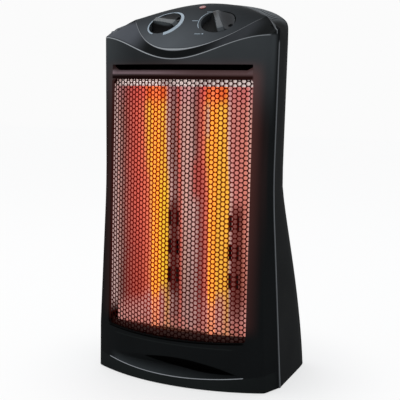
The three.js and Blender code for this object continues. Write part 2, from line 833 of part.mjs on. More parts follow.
// A wire of five sides along a path, each section square to the path
function wire(points, radius, sides) {
  const rings = points.map((point, i) => {
    const before = points[Math.max(i - 1, 0)];
    const after = points[Math.min(i + 1, points.length - 1)];
    const along = after.clone().sub(before).normalize();
    const side = new THREE.Vector3(0, 1, 0).cross(along).normalize();
    const out = along.clone().cross(side);
    const ring = [];
    for (let k = 0; k < sides; k += 1) {
      const angle = (2 * Math.PI * k) / sides;
      ring.push(point.clone().addScaledVector(side, radius * Math.cos(angle))
        .addScaledVector(out, radius * Math.sin(angle)));
    }
    return ring;
  });
  return loft(rings, planView);
}

function leastCoilGap(points) {
  let least = Infinity;
  for (let i = 0; i < points.length; i += 1) {
    for (let j = i + coilSteps / 2; j < points.length; j += 1) {
      least = Math.min(least, points[i].distanceTo(points[j]) - coilWire);
    }
  }
  return least;
}

// Ceramic end cap: a flange on the sheet plate, a socket for the tube and a bore for the lead
function ceramicCap() {
  const socket = tubeRadius + fit;
  const bore = coilWire / 2 + fit;
  return turned([[socket, 0], [capFlangeRadius, 0], [capFlangeRadius, capFlange], [capRadius, capFlange],
    [capRadius, capHeight], [bore, capHeight], [bore, capSocket], [socket, capSocket], [socket, 0]], smallSides);
}

// Sheet plate across the radiant box: a flange turned up along its bowed front edge, a straight back, and a
// hole for each tube
function endPlate(z) {
  const shape = new THREE.Shape();
  const front = (x) => frontY(x, z) + plateSetback;
  shape.moveTo(-plateHalf, front(plateHalf));
  for (let i = 1; i <= 2 * bowSteps; i += 1) {
    const x = lerp(-plateHalf, plateHalf, i / (2 * bowSteps));
    shape.lineTo(x, front(x));
  }
  shape.lineTo(plateHalf, reflectorBackY + reflectorSkin);
  shape.lineTo(-plateHalf, reflectorBackY + reflectorSkin);
  shape.closePath();
  for (const side of [-1, 1]) {
    const hole = new THREE.Path();
    hole.absarc(side * tubeX, tubeY, tubeRadius + 2 * fit, 0, 2 * Math.PI);
    shape.holes.push(hole);
  }
  const flange = bowedBlock(plateHalf, z, z + plateFlange, 0, plateSetback, plateSetback + sheet);
  return toGeometry(toSolid(plate(shape, z, z + sheet)).add(flange));
}

// Reflector trough behind one tube: a thin folded sheet with vent slots in its back
function reflector(side) {
  const line = [];
  for (let k = -troughSteps; k <= troughSteps; k += 1) {
    const share = Math.abs(k) / troughSteps;
    const reach = k < 0 ? fit / 2 - tubeX : plateHalf - tubeX;
    const edge = k < 0 ? reflectorRidgeY : reflectorEdgeY;
    line.push(new THREE.Vector2(reach * share, lerp(reflectorBackY, edge, share ** troughPower)));
  }
  line.reverse();
  const behind = line.map((point, i) => {
    const along = line[Math.min(i + 1, line.length - 1)].clone().sub(line[Math.max(i - 1, 0)]).normalize();
    const x = clamp(point.x + along.y * reflectorSkin, fit / 2 - tubeX, plateHalf - tubeX);
    return new THREE.Vector2(x, point.y - along.x * reflectorSkin);
  });
  const section = [...line, ...behind.reverse()].map((point) => new THREE.Vector2(side * point.x, point.y));
  const shape = new THREE.Shape(section);
  const foot = floorPlateHeight + sheet + fit;
  let solid = toSolid(plate(shape, foot, topPlateHeight - fit));
  for (const column of [-1, 1]) {
    for (const row of [-1, 0, 1]) {
      const x = side * ventOut + column * ventSpread;
      const z = ventMid + row * ventPitch;
      solid = solid.subtract(toSolid(block(x - ventWidth / 2, x + ventWidth / 2,
        reflectorBackY / 2, reflectorBackY + overrun, z - ventHeight / 2, z + ventHeight / 2)));
    }
  }
  return toGeometry(solid);
}

// Chassis: an upright sheet behind the reflectors, open in front of the fan
const chassisY = reflectorBackY + reflectorSkin + fit;
const basePlateTop = footHeight + fit + basePlateThick;

function chassis() {
  const shape = new THREE.Shape();
  shape.moveTo(-chassisHalf, basePlateTop + fit);
  shape.lineTo(chassisHalf, basePlateTop + fit);
  shape.lineTo(chassisHalf, chassisTop);
  shape.lineTo(-chassisHalf, chassisTop);
  shape.closePath();
  const hole = new THREE.Path();
  hole.absarc(0, fanHeight, fanBore, 0, 2 * Math.PI);
  shape.holes.push(hole);
  return slab(shape, chassisY, chassisY + sheet);
}

// Fan frame: a square duct with spokes that carry the motor's seat; the fan's axis is local +Z
function fanFrame() {
  const half = fanSize / 2;
  let solid = toSolid(block(-half, half, -half, half, 0, fanDepth));
  solid = solid.subtract(toSolid(upright(fanBore, -overrun, fanDepth + overrun, 0, 0, 2 * roundSides)));
  for (let k = 0; k < spokeCount; k += 1) {
    const spoke = block(motorSeat / 2, half - wall / 2, -spokeWidth / 2, spokeWidth / 2, fanDepth - spokeDepth, fanDepth);
    solid = solid.add(toSolid(spoke.rotateZ(degToRad(45) + (2 * Math.PI * k) / spokeCount)));
  }
  solid = solid.add(toSolid(upright(motorSeat, fanDepth - spokeDepth, fanDepth)));
  return toGeometry(solid.subtract(toSolid(upright(fanShaftRadius + fit, 0, fanDepth + overrun))));
}

// Impeller: a hub with pitched blades and the shaft that runs back into the motor
function impeller() {
  const front = fanDepth - spokeDepth - fit - hubDepth;
  let solid = toSolid(turned([[0, front], [hubRadius - wall, front], [hubRadius, front + wall],
    [hubRadius, front + hubDepth], [0, front + hubDepth]]));
  const middle = front + hubDepth / 2;
  for (let k = 0; k < bladeCount; k += 1) {
    const blade = new THREE.BoxGeometry(fanTip - hubRadius + wall, bladeThick, hubDepth);
    blade.rotateX(bladePitch).translate((fanTip + hubRadius - wall) / 2, 0, middle);
    solid = solid.add(toSolid(blade.rotateZ((2 * Math.PI * k) / bladeCount)));
  }
  const tail = fanDepth + fit + fanShaftReach;
  return toGeometry(solid.add(toSolid(upright(fanShaftRadius, front + hubDepth / 2, tail))));
}

function motor() {
  const foot = fanDepth + fit;
  const bore = fanShaftRadius + fit;
  const blind = foot + fanShaftReach + fit;
  const round = wall;
  return turned([[bore, foot], [motorRadius, foot], [motorRadius, foot + motorLength - round],
    [motorRadius - round, foot + motorLength], [0, foot + motorLength], [0, blind], [bore, blind], [bore, foot]]);
}

// Knob: a round cap whose face is hollowed on both sides of a grip bar, bored for its shaft
function knob() {
  const foot = fit - wellDepth;
  let solid = toSolid(turned([[0, foot], [knobRadius, foot], [knobRadius, -knobRound], [knobRadius - knobRound, 0],
    [knobRadius - 2 * knobRound, knobProud], [0, knobProud]], 3 * smallSides));
  for (const side of [-1, 1]) {
    const hollow = new THREE.SphereGeometry(scoopRadius, smallSides, smallSides / 2);
    hollow.scale(knobRadius / scoopRadius, 1, 1);
    hollow.translate(0, side * (scoopRadius + gripHalf), knobProud);
    solid = solid.subtract(toSolid(hollow));
  }
  return toGeometry(solid.subtract(toSolid(upright(shaftRadius + fit, foot - overrun, foot + wellDepth / 2))));
}

function knobShaft(bodyDepth) {
  const head = fit - wellDepth + wellDepth / 2 - fit;
  const foot = -wellDepth - wall - fit - bodyDepth / 2;
  return upright(shaftRadius, foot, head, 0, 0, smallSides);
}

// Bodies under the console, each with a blind bore for its shaft and blade terminals behind
function controlBody(body, length) {
  const head = -wellDepth - wall - fit;
  const foot = head - length;
  let solid = body(foot, head);
  for (const side of [-1, 1]) {
    const x = side * terminalWidth;
    solid = solid.add(toSolid(block(x - terminalThick / 2, x + terminalThick / 2,
      -terminalWidth / 2, terminalWidth / 2, foot - terminalReach, foot + terminalThick)));
  }
  const bore = upright(shaftRadius + fit, head - length / 2 - fit, head + overrun);
  return toGeometry(solid.subtract(toSolid(bore)));
}

function thermostatBody() {
  return controlBody((foot, head) => toSolid(turned([[0, foot], [thermostatRadius - wall, foot],
    [thermostatRadius, foot + wall], [thermostatRadius, head], [0, head]])), thermostatLength);
}

function selectorBody() {
  const half = selectorSize / 2;
  return controlBody((foot, head) => toSolid(block(-half, half, -half, half, foot, head)), selectorLength);
}

function lampLens() {
  return turned([[0, -lampLength], [lampRadius, -lampLength], [lampRadius, fit], [lampHead, fit],
    [lampHead, lampHeadThick / 2 + fit], [lampHead / 2, lampHeadThick + fit], [0, lampHeadThick + fit]], smallSides);
}

function lampHolder() {
  const head = -wall - lampClearance;
  return turned([[lampRadius + fit, head], [lampCollar, head], [lampCollar, -lampLength - wall],
    [0, -lampLength - wall], [0, -lampLength - fit], [lampRadius + fit, -lampLength - fit], [lampRadius + fit, head]],
  smallSides);
}

// Base plate inside the mouldings, bored for the tip-over plunger
function basePlate() {
  const low = footHeight + fit;
  const side = seamHalfBase + overrun;
  const level = toSolid(block(-side, side, -frontReachSill - overrun, rearReachBase + overrun, low, basePlateTop));
  const plunger = upright(plungerRadius + fit, low - overrun, basePlateTop + overrun, tipX, tipY);
  return toGeometry(wallForm(wall + fit, -overrun).intersect(level).subtract(toSolid(plunger)));
}

function foot() {
  const round = footHeight / 4;
  return turned([[0, 0], [footRadius - round, 0], [footRadius, round], [footRadius, footHeight], [0, footHeight]],
    smallSides);
}

// The plunger drops by its travel when the heater is lifted or tips, and stays as far inside the switch
const plungerHead = basePlateTop + 2 * plungerTravel;

function tipSwitch() {
  const low = basePlateTop + fit;
  const body = block(-tipWidth / 2, tipWidth / 2, -tipDepth / 2, tipDepth / 2, low, low + tipHeight);
  const bore = upright(plungerRadius + fit, low - overrun, plungerHead + fit);
  return toGeometry(toSolid(body).subtract(toSolid(bore)));
}

function plunger() {
  const tip = plungerRadius / 2;
  return turned([[0, fit], [plungerRadius - tip, fit], [plungerRadius, fit + tip], [plungerRadius, plungerHead],
    [0, plungerHead]], smallSides);
}

function thermalCutout() {
  return turned([[0, 0], [cutoutRadius, 0], [cutoutRadius, cutoutDepth / 2], [cutoutRadius / 2, cutoutDepth / 2],
    [cutoutRadius / 2, cutoutDepth], [0, cutoutDepth]], smallSides);
}

// Cord inlet bush: a flange each side of the rear wall and a through bore
function cordGland() {
  const back = wall + 2 * glandClearance;
  return turned([[glandBore, -glandFlangeThick], [glandFlange, -glandFlangeThick], [glandFlange, 0], [glandRadius, 0],
    [glandRadius, back], [glandFlange, back], [glandFlange, back + glandFlangeThick],
    [glandBore, back + glandFlangeThick], [glandBore, -glandFlangeThick]], smallSides);
}

// Materials
const finish = (color, roughness, metalness = 0) => new THREE.MeshStandardMaterial({ color, roughness, metalness });
const satinBlack = () => finish(0x2b2d2f, 0.42);
const meshBlack = () => finish(0x17181a, 0.5, 0.3);
const polished = () => finish(0xd8d4cc, 0.18, 1);
const zinc = () => finish(0x9a9c9e, 0.4, 0.9);
const ceramic = () => finish(0xe6e0d2, 0.6);
const darkPlastic = () => finish(0x1d1e20, 0.55);
const rubber = () => finish(0x141414, 0.9);

const heater = new THREE.Group();

function part(name, geometry, material, parent = heater) {
  const mesh = new THREE.Mesh(geometry, material);
  mesh.name = name;
  parent.add(mesh);
  return mesh;
}

// Housing
const outer = wallForm(0, rimLift).intersect(underTop(0));
const cavity = wallForm(wall, -overrun).intersect(underTop(wall));
part('front_shell', toGeometry(frontShell(outer, cavity)), satinBlack());
part('rear_shell', toGeometry(rearShell(outer, cavity)), satinBlack());
part('grille', grille(), meshBlack());
part('base_plate', basePlate(), zinc());
for (const [name, x, y] of [
  ['foot_front_left', -footFrontX, footFrontY], ['foot_front_right', footFrontX, footFrontY],
  ['foot_rear_left', -footRearX, footRearY], ['foot_rear_right', footRearX, footRearY],
]) {
  part(name, foot(), rubber()).position.set(x, y, 0);
}

// Radiant works
part('chassis_plate', chassis(), zinc());
part('end_plate_upper', endPlate(topPlateHeight), polished());
part('end_plate_lower', endPlate(floorPlateHeight), polished());
const coil = coilPath();
console.log(`heating coil: least gap to itself ${leastCoilGap(coil).toFixed(2)} mm`);
for (const [side, sign] of [['left', -1], ['right', 1]]) {
  const bay = new THREE.Group();
  bay.position.set(sign * tubeX, 0, 0);
  heater.add(bay);
  part(`reflector_${side}`, reflector(sign), polished(), bay);
  const tube = new THREE.Group();
  tube.position.y = tubeY;
  bay.add(tube);
  part(`quartz_tube_${side}`, quartzTube(), finish(0xf2ede4, 0.1), tube);
  part(`heating_coil_${side}`, wire(coil, coilWire / 2, coilSides), finish(0xff7a1a, 0.5, 0.6), tube);
  part(`cap_upper_${side}`, ceramicCap(), ceramic(), tube).position.z = topPlateHeight + sheet + fit;
  const lower = part(`cap_lower_${side}`, ceramicCap(), ceramic(), tube);
  lower.position.z = floorPlateHeight - fit;
  lower.rotation.x = Math.PI;
}

// Fan
const fan = new THREE.Group();
fan.position.set(0, chassisY + sheet + fit, fanHeight);
fan.rotation.x = -quarterTurn;
heater.add(fan);
part('fan_frame', fanFrame(), darkPlastic(), fan);
part('fan_impeller', impeller(), darkPlastic(), fan);
part('fan_motor', motor(), zinc(), fan);

// Controls
for (const [name, frame, angle, body, length] of [
  ['thermostat', thermostatFrame, thermostatAngle, thermostatBody(), thermostatLength],
  ['selector', selectorFrame, selectorAngle, selectorBody(), selectorLength],
]) {
  heater.add(frame);
  part(`${name}_knob`, knob(), satinBlack(), frame).rotation.z = angle;
  part(`${name}_shaft`, knobShaft(length), zinc(), frame);
  part(`${name}_body`, body, darkPlastic(), frame);
}
heater.add(lampFrame);
part('pilot_lens', lampLens(), finish(0xd81e1e, 0.2), lampFrame);
part('lamp_holder', lampHolder(), darkPlastic(), lampFrame);

// Safety devices and cord inlet
const tip = new THREE.Group();
tip.position.set(tipX, tipY, 0);
heater.add(tip);
part('tip_switch', tipSwitch(), darkPlastic(), tip);
part('tip_plunger', plunger(), finish(0xd9d4c6, 0.5), tip);
const cutout = part('thermal_cutout', thermalCutout(), finish(0x8a5a3c, 0.4, 0.5));
cutout.position.set(cutoutX, chassisY + sheet + fit, cutoutHeight);
cutout.rotation.x = -quarterTurn;
const gland = part('cord_gland', cordGland(), rubber());
gland.rotation.x = quarterTurn;
gland.position.set(glandX, rearY(glandX, glandHeight) + glandClearance, glandHeight);

// The origin is the middle of the footprint, on the floor
const reach = new THREE.Box3().setFromObject(heater);
heater.position.y = -(reach.min.y + reach.max.y) / 2;

export default heater;
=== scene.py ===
"""Quartz heater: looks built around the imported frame, in metres, in the row frame."""

import json
import logging
import math
from dataclasses import dataclass
from enum import Enum
from typing import Sequence

import bmesh
import bpy
from mathutils import Matrix, Vector

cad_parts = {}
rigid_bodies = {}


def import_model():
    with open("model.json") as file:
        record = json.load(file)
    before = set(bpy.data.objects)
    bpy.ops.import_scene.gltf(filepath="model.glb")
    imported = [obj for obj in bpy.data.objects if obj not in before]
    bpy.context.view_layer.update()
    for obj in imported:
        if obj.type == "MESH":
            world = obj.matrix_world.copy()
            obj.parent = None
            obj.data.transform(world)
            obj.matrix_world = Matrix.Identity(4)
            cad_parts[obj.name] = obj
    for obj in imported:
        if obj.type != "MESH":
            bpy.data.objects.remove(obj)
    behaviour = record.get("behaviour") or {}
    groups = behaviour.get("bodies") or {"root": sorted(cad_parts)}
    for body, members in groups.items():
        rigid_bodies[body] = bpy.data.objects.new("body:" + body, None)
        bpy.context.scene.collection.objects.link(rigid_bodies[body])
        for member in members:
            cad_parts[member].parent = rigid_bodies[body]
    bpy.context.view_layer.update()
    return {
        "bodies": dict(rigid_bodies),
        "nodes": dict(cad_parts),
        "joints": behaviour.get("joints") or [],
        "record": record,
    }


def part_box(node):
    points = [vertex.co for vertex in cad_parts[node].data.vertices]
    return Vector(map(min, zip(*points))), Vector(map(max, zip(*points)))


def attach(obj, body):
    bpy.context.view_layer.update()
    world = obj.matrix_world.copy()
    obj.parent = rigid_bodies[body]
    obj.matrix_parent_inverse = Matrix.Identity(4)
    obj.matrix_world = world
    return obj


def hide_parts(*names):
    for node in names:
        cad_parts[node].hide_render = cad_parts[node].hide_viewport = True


log = logging.getLogger("quartz_heater")

MM = 0.001
SEAM_SHIFT = -36.2989  # from the seam's frame to the row frame, along y, in mm
QUARTER = math.pi / 2
TURN = math.pi * 2

Number = float | int
Colour = tuple[float, float, float]
Point = tuple[float, float, float]
Pair = tuple[float, float]

BLACK: Colour = (0, 0, 0)

SAME_PLACE = 1e-7  # corners of a new mesh closer than this are one, in m
SLIVER = 2e-6  # edges shorter than this are closed before shading, in m


# Shader maths


class Sock:
    """A number on a node tree that takes part in Python sums."""

    def __init__(self, tree: "Tree", socket: bpy.types.NodeSocket) -> None:
        """Keeps the tree and the output that carries the number."""
        self.tree = tree
        self.socket = socket

    def __add__(self, other: "Sock | Number") -> "Sock":
        """Sum."""
        return self.tree.math("ADD", self, other)

    def __sub__(self, other: "Sock | Number") -> "Sock":
        """Difference."""
        return self.tree.math("SUBTRACT", self, other)

    def __rsub__(self, other: Number) -> "Sock":
        """Difference with the number first."""
        return self.tree.math("SUBTRACT", other, self)

    def __mul__(self, other: "Sock | Number") -> "Sock":
        """Product."""
        return self.tree.math("MULTIPLY", self, other)

    def __truediv__(self, other: "Sock | Number") -> "Sock":
        """Quotient."""
        return self.tree.math("DIVIDE", self, other)

    def __pow__(self, other: Number) -> "Sock":
        """Power."""
        return self.tree.math("POWER", self, other)

    __radd__ = __add__
    __rmul__ = __mul__

    def size(self) -> "Sock":
        """Absolute value."""
        return self.tree.math("ABSOLUTE", self)

    def wave(self) -> "Sock":
        """Cosine."""
        return self.tree.math("COSINE", self)

    def near(self, half: float) -> "Sock":
        """1 where the number is about 0, easing to 0 beyond a half width."""
        return self.size().ease(half * 1.5, half * 0.5)

    def about(self, middle: float, half: float) -> "Sock":
        """1 where the number is about a middle, easing to 0 beyond a half width."""
        return (self - middle).near(half)

    def ease(self, low: Number, high: Number) -> "Sock":
        """Smooth step, 0 where the number is low and 1 where it is high."""
        reach = {"Value": self, "From Min": low, "From Max": high}
        return self.tree.number("ShaderNodeMapRange", "Result", {"interpolation_type": "SMOOTHSTEP"}, reach)


class Tree:
    """The node tree of one material, with its Principled shader, or of the world."""

    def __init__(self, name: str, world: bpy.types.World | None = None) -> None:
        """Starts an empty material.

        Args:
            name: the material's name.
            world: the world, where the tree is its own.
        """
        self.material = world or bpy.data.materials.new(name)
        self.material.use_nodes = True
        self.nodes = self.material.node_tree.nodes
        self.links = self.material.node_tree.links
        self.shader = self.nodes["Background" if world else "Principled BSDF"]
        self.output = self.nodes["World Output" if world else "Material Output"]

    def node(self, kind: str, settings: dict | None = None, inputs: dict | None = None) -> bpy.types.Node:
        """Adds a node.

        Args:
            kind: the node's type.
            settings: its properties, set first.
            inputs: values or links of its sockets, by name or number.

        Returns:
            The node.
        """
        node = self.nodes.new(kind)
        for key, value in (settings or {}).items():
            if key == "stops":
                ramp = node.color_ramp
                while len(ramp.elements) < len(value):
                    ramp.elements.new(0.5)
                for element, (place, colour) in zip(ramp.elements, value):
                    element.position = place
                    element.color = (*colour, 1)
            else:
                setattr(node, key, value)
        for key, value in (inputs or {}).items():
            self.feed(node.inputs[key], value)
        return node

    def number(
        self, kind: str, output: str | int, settings: dict | None = None, inputs: dict | None = None
    ) -> Sock:
        """Adds a node and takes one of its outputs as a number."""
        return Sock(self, self.node(kind, settings, inputs).outputs[output])

    def feed(self, socket: bpy.types.NodeSocket, value: object) -> None:
        """Links or sets a socket.

        Args:
            socket: the input.
            value: a Sock, an output socket, a number or a tuple.
        """
        if isinstance(value, Sock):
            value = value.socket
        if isinstance(value, bpy.types.NodeSocket):
            self.links.new(value, socket)
        elif isinstance(value, tuple) and len(value) == 3 and socket.type == "RGBA":
            socket.default_value = (*value, 1)
        else:
            socket.default_value = value

    def math(self, operation: str, a: object, b: object = 0.0) -> Sock:
        """One Math node's result."""
        return self.number("ShaderNodeMath", 0, {"operation": operation}, {0: a, 1: b})

    def blend(self, factor: object, a: object, b: object, kind: str = "MIX") -> bpy.types.NodeSocket:
        """Mix of two colours, a where the factor is 0 and b where it is 1."""
        settings = {"data_type": "RGBA", "blend_type": kind}
        return self.node("ShaderNodeMix", settings, {0: factor, 6: a, 7: b}).outputs[2]

    def coats(self, colour: object, *layers: tuple) -> object:
        """Colours laid one over another.

        Args:
            colour: the lowest one.
            layers: a mask and a colour each, and how they mix where that isn't plain.

        Returns:
            The colour on top.
        """
        for mask, coat, *kind in layers:
            colour = self.blend(mask, colour, coat, *kind)
        return colour

    def bands(self, x: Sock, half: float, stops: Sequence[tuple[float, Colour]]) -> bpy.types.NodeSocket:
        """Colours that change across the window.

        Args:
            x: the place across.
            half: how far the bands reach to either side.
            stops: places and colours.

        Returns:
            The colour.
        """
        shares = [((place + half) / (2 * half), colour) for place, colour in stops]
        along = {"Fac": (x + half) / (2 * half)}
        return self.node("ShaderNodeValToRGB", {"stops": shares}, along).outputs["Color"]

    def mixed(self, factor: object, other: bpy.types.Node) -> None:
        """Shows another shader in the tree's own one's place by a factor."""
        shaders = {0: factor, 1: self.shader.outputs[0], 2: other.outputs[0]}
        self.feed(self.output.inputs[0], self.node("ShaderNodeMixShader", None, shaders).outputs[0])

    def seen(self) -> Sock:
        """Tells what the camera sees, straight, mirrored or through glass.

        Returns:
            1 there and 0 elsewhere.
        """
        ray = self.node("ShaderNodeLightPath").outputs
        return self.math("MAXIMUM", ray["Is Camera Ray"],
                         self.math("MAXIMUM", ray["Is Glossy Ray"], ray["Is Transmission Ray"]))

    def parts(self, vector: bpy.types.NodeSocket) -> tuple[Sock, Sock, Sock]:
        """A vector's x, y and z."""
        split = self.node("ShaderNodeSeparateXYZ", None, {0: vector})
        return tuple(Sock(self, split.outputs[k]) for k in range(3))

    def place(self) -> tuple[Sock, Sock, Sock]:
        """The object's own x, y and z in millimetres, which are the row frame's."""
        return tuple(part / MM for part in self.parts(self.node("ShaderNodeTexCoord").outputs["Object"]))

    def facing(self, axis: int) -> Sock:
        """How far the surface faces along x, y or z, which are 0, 1 and 2."""
        return self.parts(self.node("ShaderNodeNewGeometry").outputs["Normal"])[axis]

    def noise(self, scale: float, detail: float = 2.0, stretch: Point = (1, 1, 1)) -> Sock:
        """Noise over the object's own coordinates.

        Args:
            scale: cells to the metre.
            detail: octaves.
            stretch: share of the scale along each axis.

        Returns:
            The noise, about 0.5 in the middle.
        """
        where = self.node("ShaderNodeTexCoord").outputs["Object"]
        mapped = self.node("ShaderNodeMapping", None, {"Vector": where, "Scale": stretch}).outputs[0]
        inputs = {"Vector": mapped, "Scale": scale, "Detail": detail}
        return self.number("ShaderNodeTexNoise", "Fac", None, inputs)

    def bump(self, height: object, depth: float = 0.00002, strength: float = 0.5) -> None:
        """Bump on the shader's normal, with the depth of a height of 1 in metres."""
        node = self.node("ShaderNodeBump", None, {"Height": height, "Distance": depth, "Strength": strength})
        self.feed(self.shader.inputs["Normal"], node.outputs[0])

    def set(self, **values: object) -> None:
        """Sets or links sockets of the shader, by their names with _ for a space."""
        for key, value in values.items():
            self.feed(self.shader.inputs[key.replace("_", " ")], value)


def scaled(colour: Colour, share: float) -> Colour:
    """The colour, darkened to a share."""
    return tuple(part * share for part in colour)


def lerp(a: float, b: float, share: float) -> float:
    """Between a and b."""
    return a + (b - a) * share


def spread(a: float, b: float, count: int) -> list[float]:
    """Even steps from a to b, both with them."""
    return [lerp(a, b, k / count) for k in range(count + 1)]


def at(x: float, y: float, z: float) -> Point:
    """From the seam's frame in millimetres to the scene's in metres."""
    return (x * MM, (y + SEAM_SHIFT) * MM, z * MM)


# The heater's form


@dataclass(frozen=True)
class Form:
    """The laws of the heater's outer surfaces, in millimetres, with y = 0 at the seam."""

    height: float = 585.6
    rim: float = 1.5
    waist: float = 303.0
    shoulder: float = 525.0
    sill: float = 74.0
    wall: float = 2.8
    fit: float = 0.3
    overrun: float = 20.0
    waist_ease: float = 45.0
    seam_half: Point = (157.6, 139.8, 144.7)
    corner_half: Point = (147.3, 133.8, 141.4)
    corner_round: float = 5.0
    bow_radius: float = 320.0
    front_reach: Point = (73.2, 75.4, 60.0)
    rear_reach: Pair = (90.0, 148.0)
    rear_square: Pair = (5.6, 14.0)
    rear_taper: float = 0.09
    flare_power: float = 1.2
    bead_width: float = 3.0
    bead_rise: float = 0.8
    band_reach: float = 66.0
    band_half: float = 137.0
    band_power: float = 2.3
    band_half_top: float = 143.6
    band_drop: float = 43.8
    band_drop_power: float = 2.15
    arch_y: float = 70.0
    arch_half: float = 135.5
    arch_foot: float = 480.0
    arch_rise: float = 105.0
    arch_power: float = 1.84
    arch_round_power: float = 6.0
    back_round: float = 20.0
    back_spread: float = 200.0
    panel_height: float = 561.0
    panel_slope: float = 0.864
    panel_bend: float = 78.125
    bend_share: float = 0.42
    crown_drop: float = 18.0
    crown_half: float = 135.0
    crown_power: float = 1.4
    roll_power: int = 3
    crease_low: float = 496.3
    crease_rise: float = 34.5
    ridge_front: float = -57.5
    ridge_radius: float = 85.0
    knob_x: float = 46.0
    knob_y: float = -4.0
    window_half: float = 121.0
    window_low: float = 78.0
    window_high: float = 467.0
    window_sag: float = 3.5
    toe_half: float = 118.0
    toe_end: float = 24.0
    toe_sag: float = 7.4

    def waisted(self, z: float, halves: Point) -> float:
        """Half width that narrows to the waist and widens again above it.

        Args:
            z: the height.
            halves: half widths at the floor, the waist and the shoulder.

        Returns:
            The half width, eased at the waist.
        """
        base, waist, top = halves
        below = (waist - base) / self.waist
        above = (top - waist) / (self.shoulder - self.waist)
        t = min(z, self.shoulder) - self.waist
        ease = self.waist_ease
        size = abs(t) if abs(t) > ease else (t * t + ease * ease) / (2 * ease)
        return waist + below * t + (above - below) * (t + size) / 2

    def front(self, x: float, z: float) -> float:
        """y of the bowed front face at a place.

        Args:
            x: across.
            z: up.

        Returns:
            y, behind the middle's reach by the bow.
        """
        base, sill, top = self.front_reach
        if z < self.sill:
            reach = lerp(base, sill, z / self.sill)
        else:
            reach = lerp(sill, top, (z - self.sill) / (self.shoulder - self.sill))
        return self.bow_radius - math.sqrt(self.bow_radius**2 - x * x) - reach

    def flare(self, z: float) -> float:
        """Share of the rear's flare at a height, 0 above the waist and 1 at the floor."""
        return min(max((self.waist - z) / self.waist, 0.0), 1.0)

    def rear(self, z: float) -> float:
        """How far the rear's middle stands behind the seam."""
        top, base = self.rear_reach
        return lerp(top, base, math.sin(self.flare(z) * QUARTER) ** self.flare_power)

    def band_y(self, x: float) -> float:
        """y of the band over the top at x."""
        return self.band_reach * max(1 - (abs(x) / self.band_half) ** self.band_power, 0)

    def band_z(self, x: float) -> float:
        """Height of the band at x."""
        return self.height - self.band_drop * (abs(x) / self.band_half_top) ** self.band_drop_power

    def arch_z(self, x: float) -> float:
        """Height of the arch behind the band."""
        share = min(abs(x) / self.arch_half, 1)
        return self.arch_foot + self.arch_rise * (1 - share**self.arch_power) ** (1 / self.arch_round_power)

    def panel_z(self, x: float, y: float) -> float:
        """Height of the console's panel, before it rolls into the band.

        Args:
            x: across.
            y: along.

        Returns:
            The height, less the panel's bend and crown.
        """
        bend = max(y - self.knob_y, 0) ** 2 / (2 * self.panel_bend)
        crown = self.crown_drop * min(abs(x) / self.crown_half, 1) ** self.crown_power
        return self.panel_height + self.panel_slope * y - bend - crown

    def crease_z(self, x: float) -> float:
        """Height of the crease between the front face and the console's lip."""
        share = min(abs(x) / self.seam_half[2], 1)
        return self.crease_low + self.crease_rise * (1 - math.cos(math.pi * share)) / 2

    def ridge_y(self, x: float) -> float:
        """y of the ridge between the lip and the panel."""
        return min(self.ridge_front + x * x / (2 * self.ridge_radius), self.band_y(x) - self.wall)

    def console_z(self, x: float, y: float) -> float:
        """Height of the console's panel with its roll into the band.

        Args:
            x: across.
            y: along.

        Returns:
            The height.
        """
        start = lerp(self.ridge_y(x), self.band_y(x), self.bend_share)
        share = min(max((y - start) / (self.band_y(x) - start), 0), 1)
        roll = self.band_z(x) - self.panel_z(x, self.band_y(x))
        return self.panel_z(x, y) + roll * share**self.roll_power

    def console_frame(self, x: float, y: float) -> Matrix:
        """A frame on the console: +Z out of the panel, +Y up its slope.

        Args:
            x: across.
            y: along.

        Returns:
            The frame in the scene's metres.
        """
        share = (abs(x) / self.crown_half) ** (self.crown_power - 1)
        across = self.crown_power * self.crown_drop / self.crown_half * share
        slope = self.panel_slope - max(y - self.knob_y, 0) / self.panel_bend
        out = Vector((math.copysign(across, x), -slope, 1)).normalized()
        side = Vector((0, 1, 0)).cross(out).normalized()
        frame = Matrix((side, out.cross(side), out)).transposed().to_4x4()
        frame.translation = Vector(at(x, y, self.panel_z(x, y)))
        return frame


FORM = Form()


# Finishes


class Finish:
    """A named finish, which paints the tree of one material."""

    name: str

    def make(self) -> bpy.types.Material:
        """Builds the material.

        Returns:
            The painted material.
        """
        tree = Tree(self.name)
        self.paint(tree)
        return tree.material

    def paint(self, tree: Tree) -> None:
        """Paints a material's tree, as each finish does in its own way."""
        raise NotImplementedError(self.name)


@dataclass(frozen=True)
class SatinPlastic(Finish):
    """Moulded plastic with a fine spark texture and a soft sheen."""

    name: str
    colour: Colour
    roughness: float = 0.36
    grain: float = 0.00002
    grain_scale: float = 2600.0
    specular: float = 0.5

    def paint(self, tree: Tree) -> None:
        """Paints the plastic.

        Args:
            tree: the material's tree.
        """
        broad, fine = tree.noise(18.0, 3.0), tree.noise(self.grain_scale)
        tree.set(
            Base_Color=tree.blend(broad, scaled(self.colour, 0.86), self.colour),
            Roughness=self.roughness + (broad - 0.5) * 0.10 + (fine - 0.5) * 0.06,
            Specular_IOR_Level=self.specular,
        )
        tree.bump(fine, self.grain)


@dataclass(frozen=True)
class SheetMetal(Finish):
    """Rolled sheet with a faint lengthwise brushing."""

    name: str
    colour: Colour
    roughness: float
    stretch: Point = (1.0, 1.0, 0.02)

    def paint(self, tree: Tree) -> None:
        """Paints the sheet.

        Args:
            tree: the material's tree.
        """
        lines = tree.noise(900.0, 2.0, self.stretch)
        tree.set(
            Base_Color=tree.blend(tree.noise(30.0, 3.0), scaled(self.colour, 0.8), self.colour),
            Metallic=1.0,
            Roughness=self.roughness + (lines - 0.5) * 0.15,
        )
        tree.bump(lines, strength=0.4)


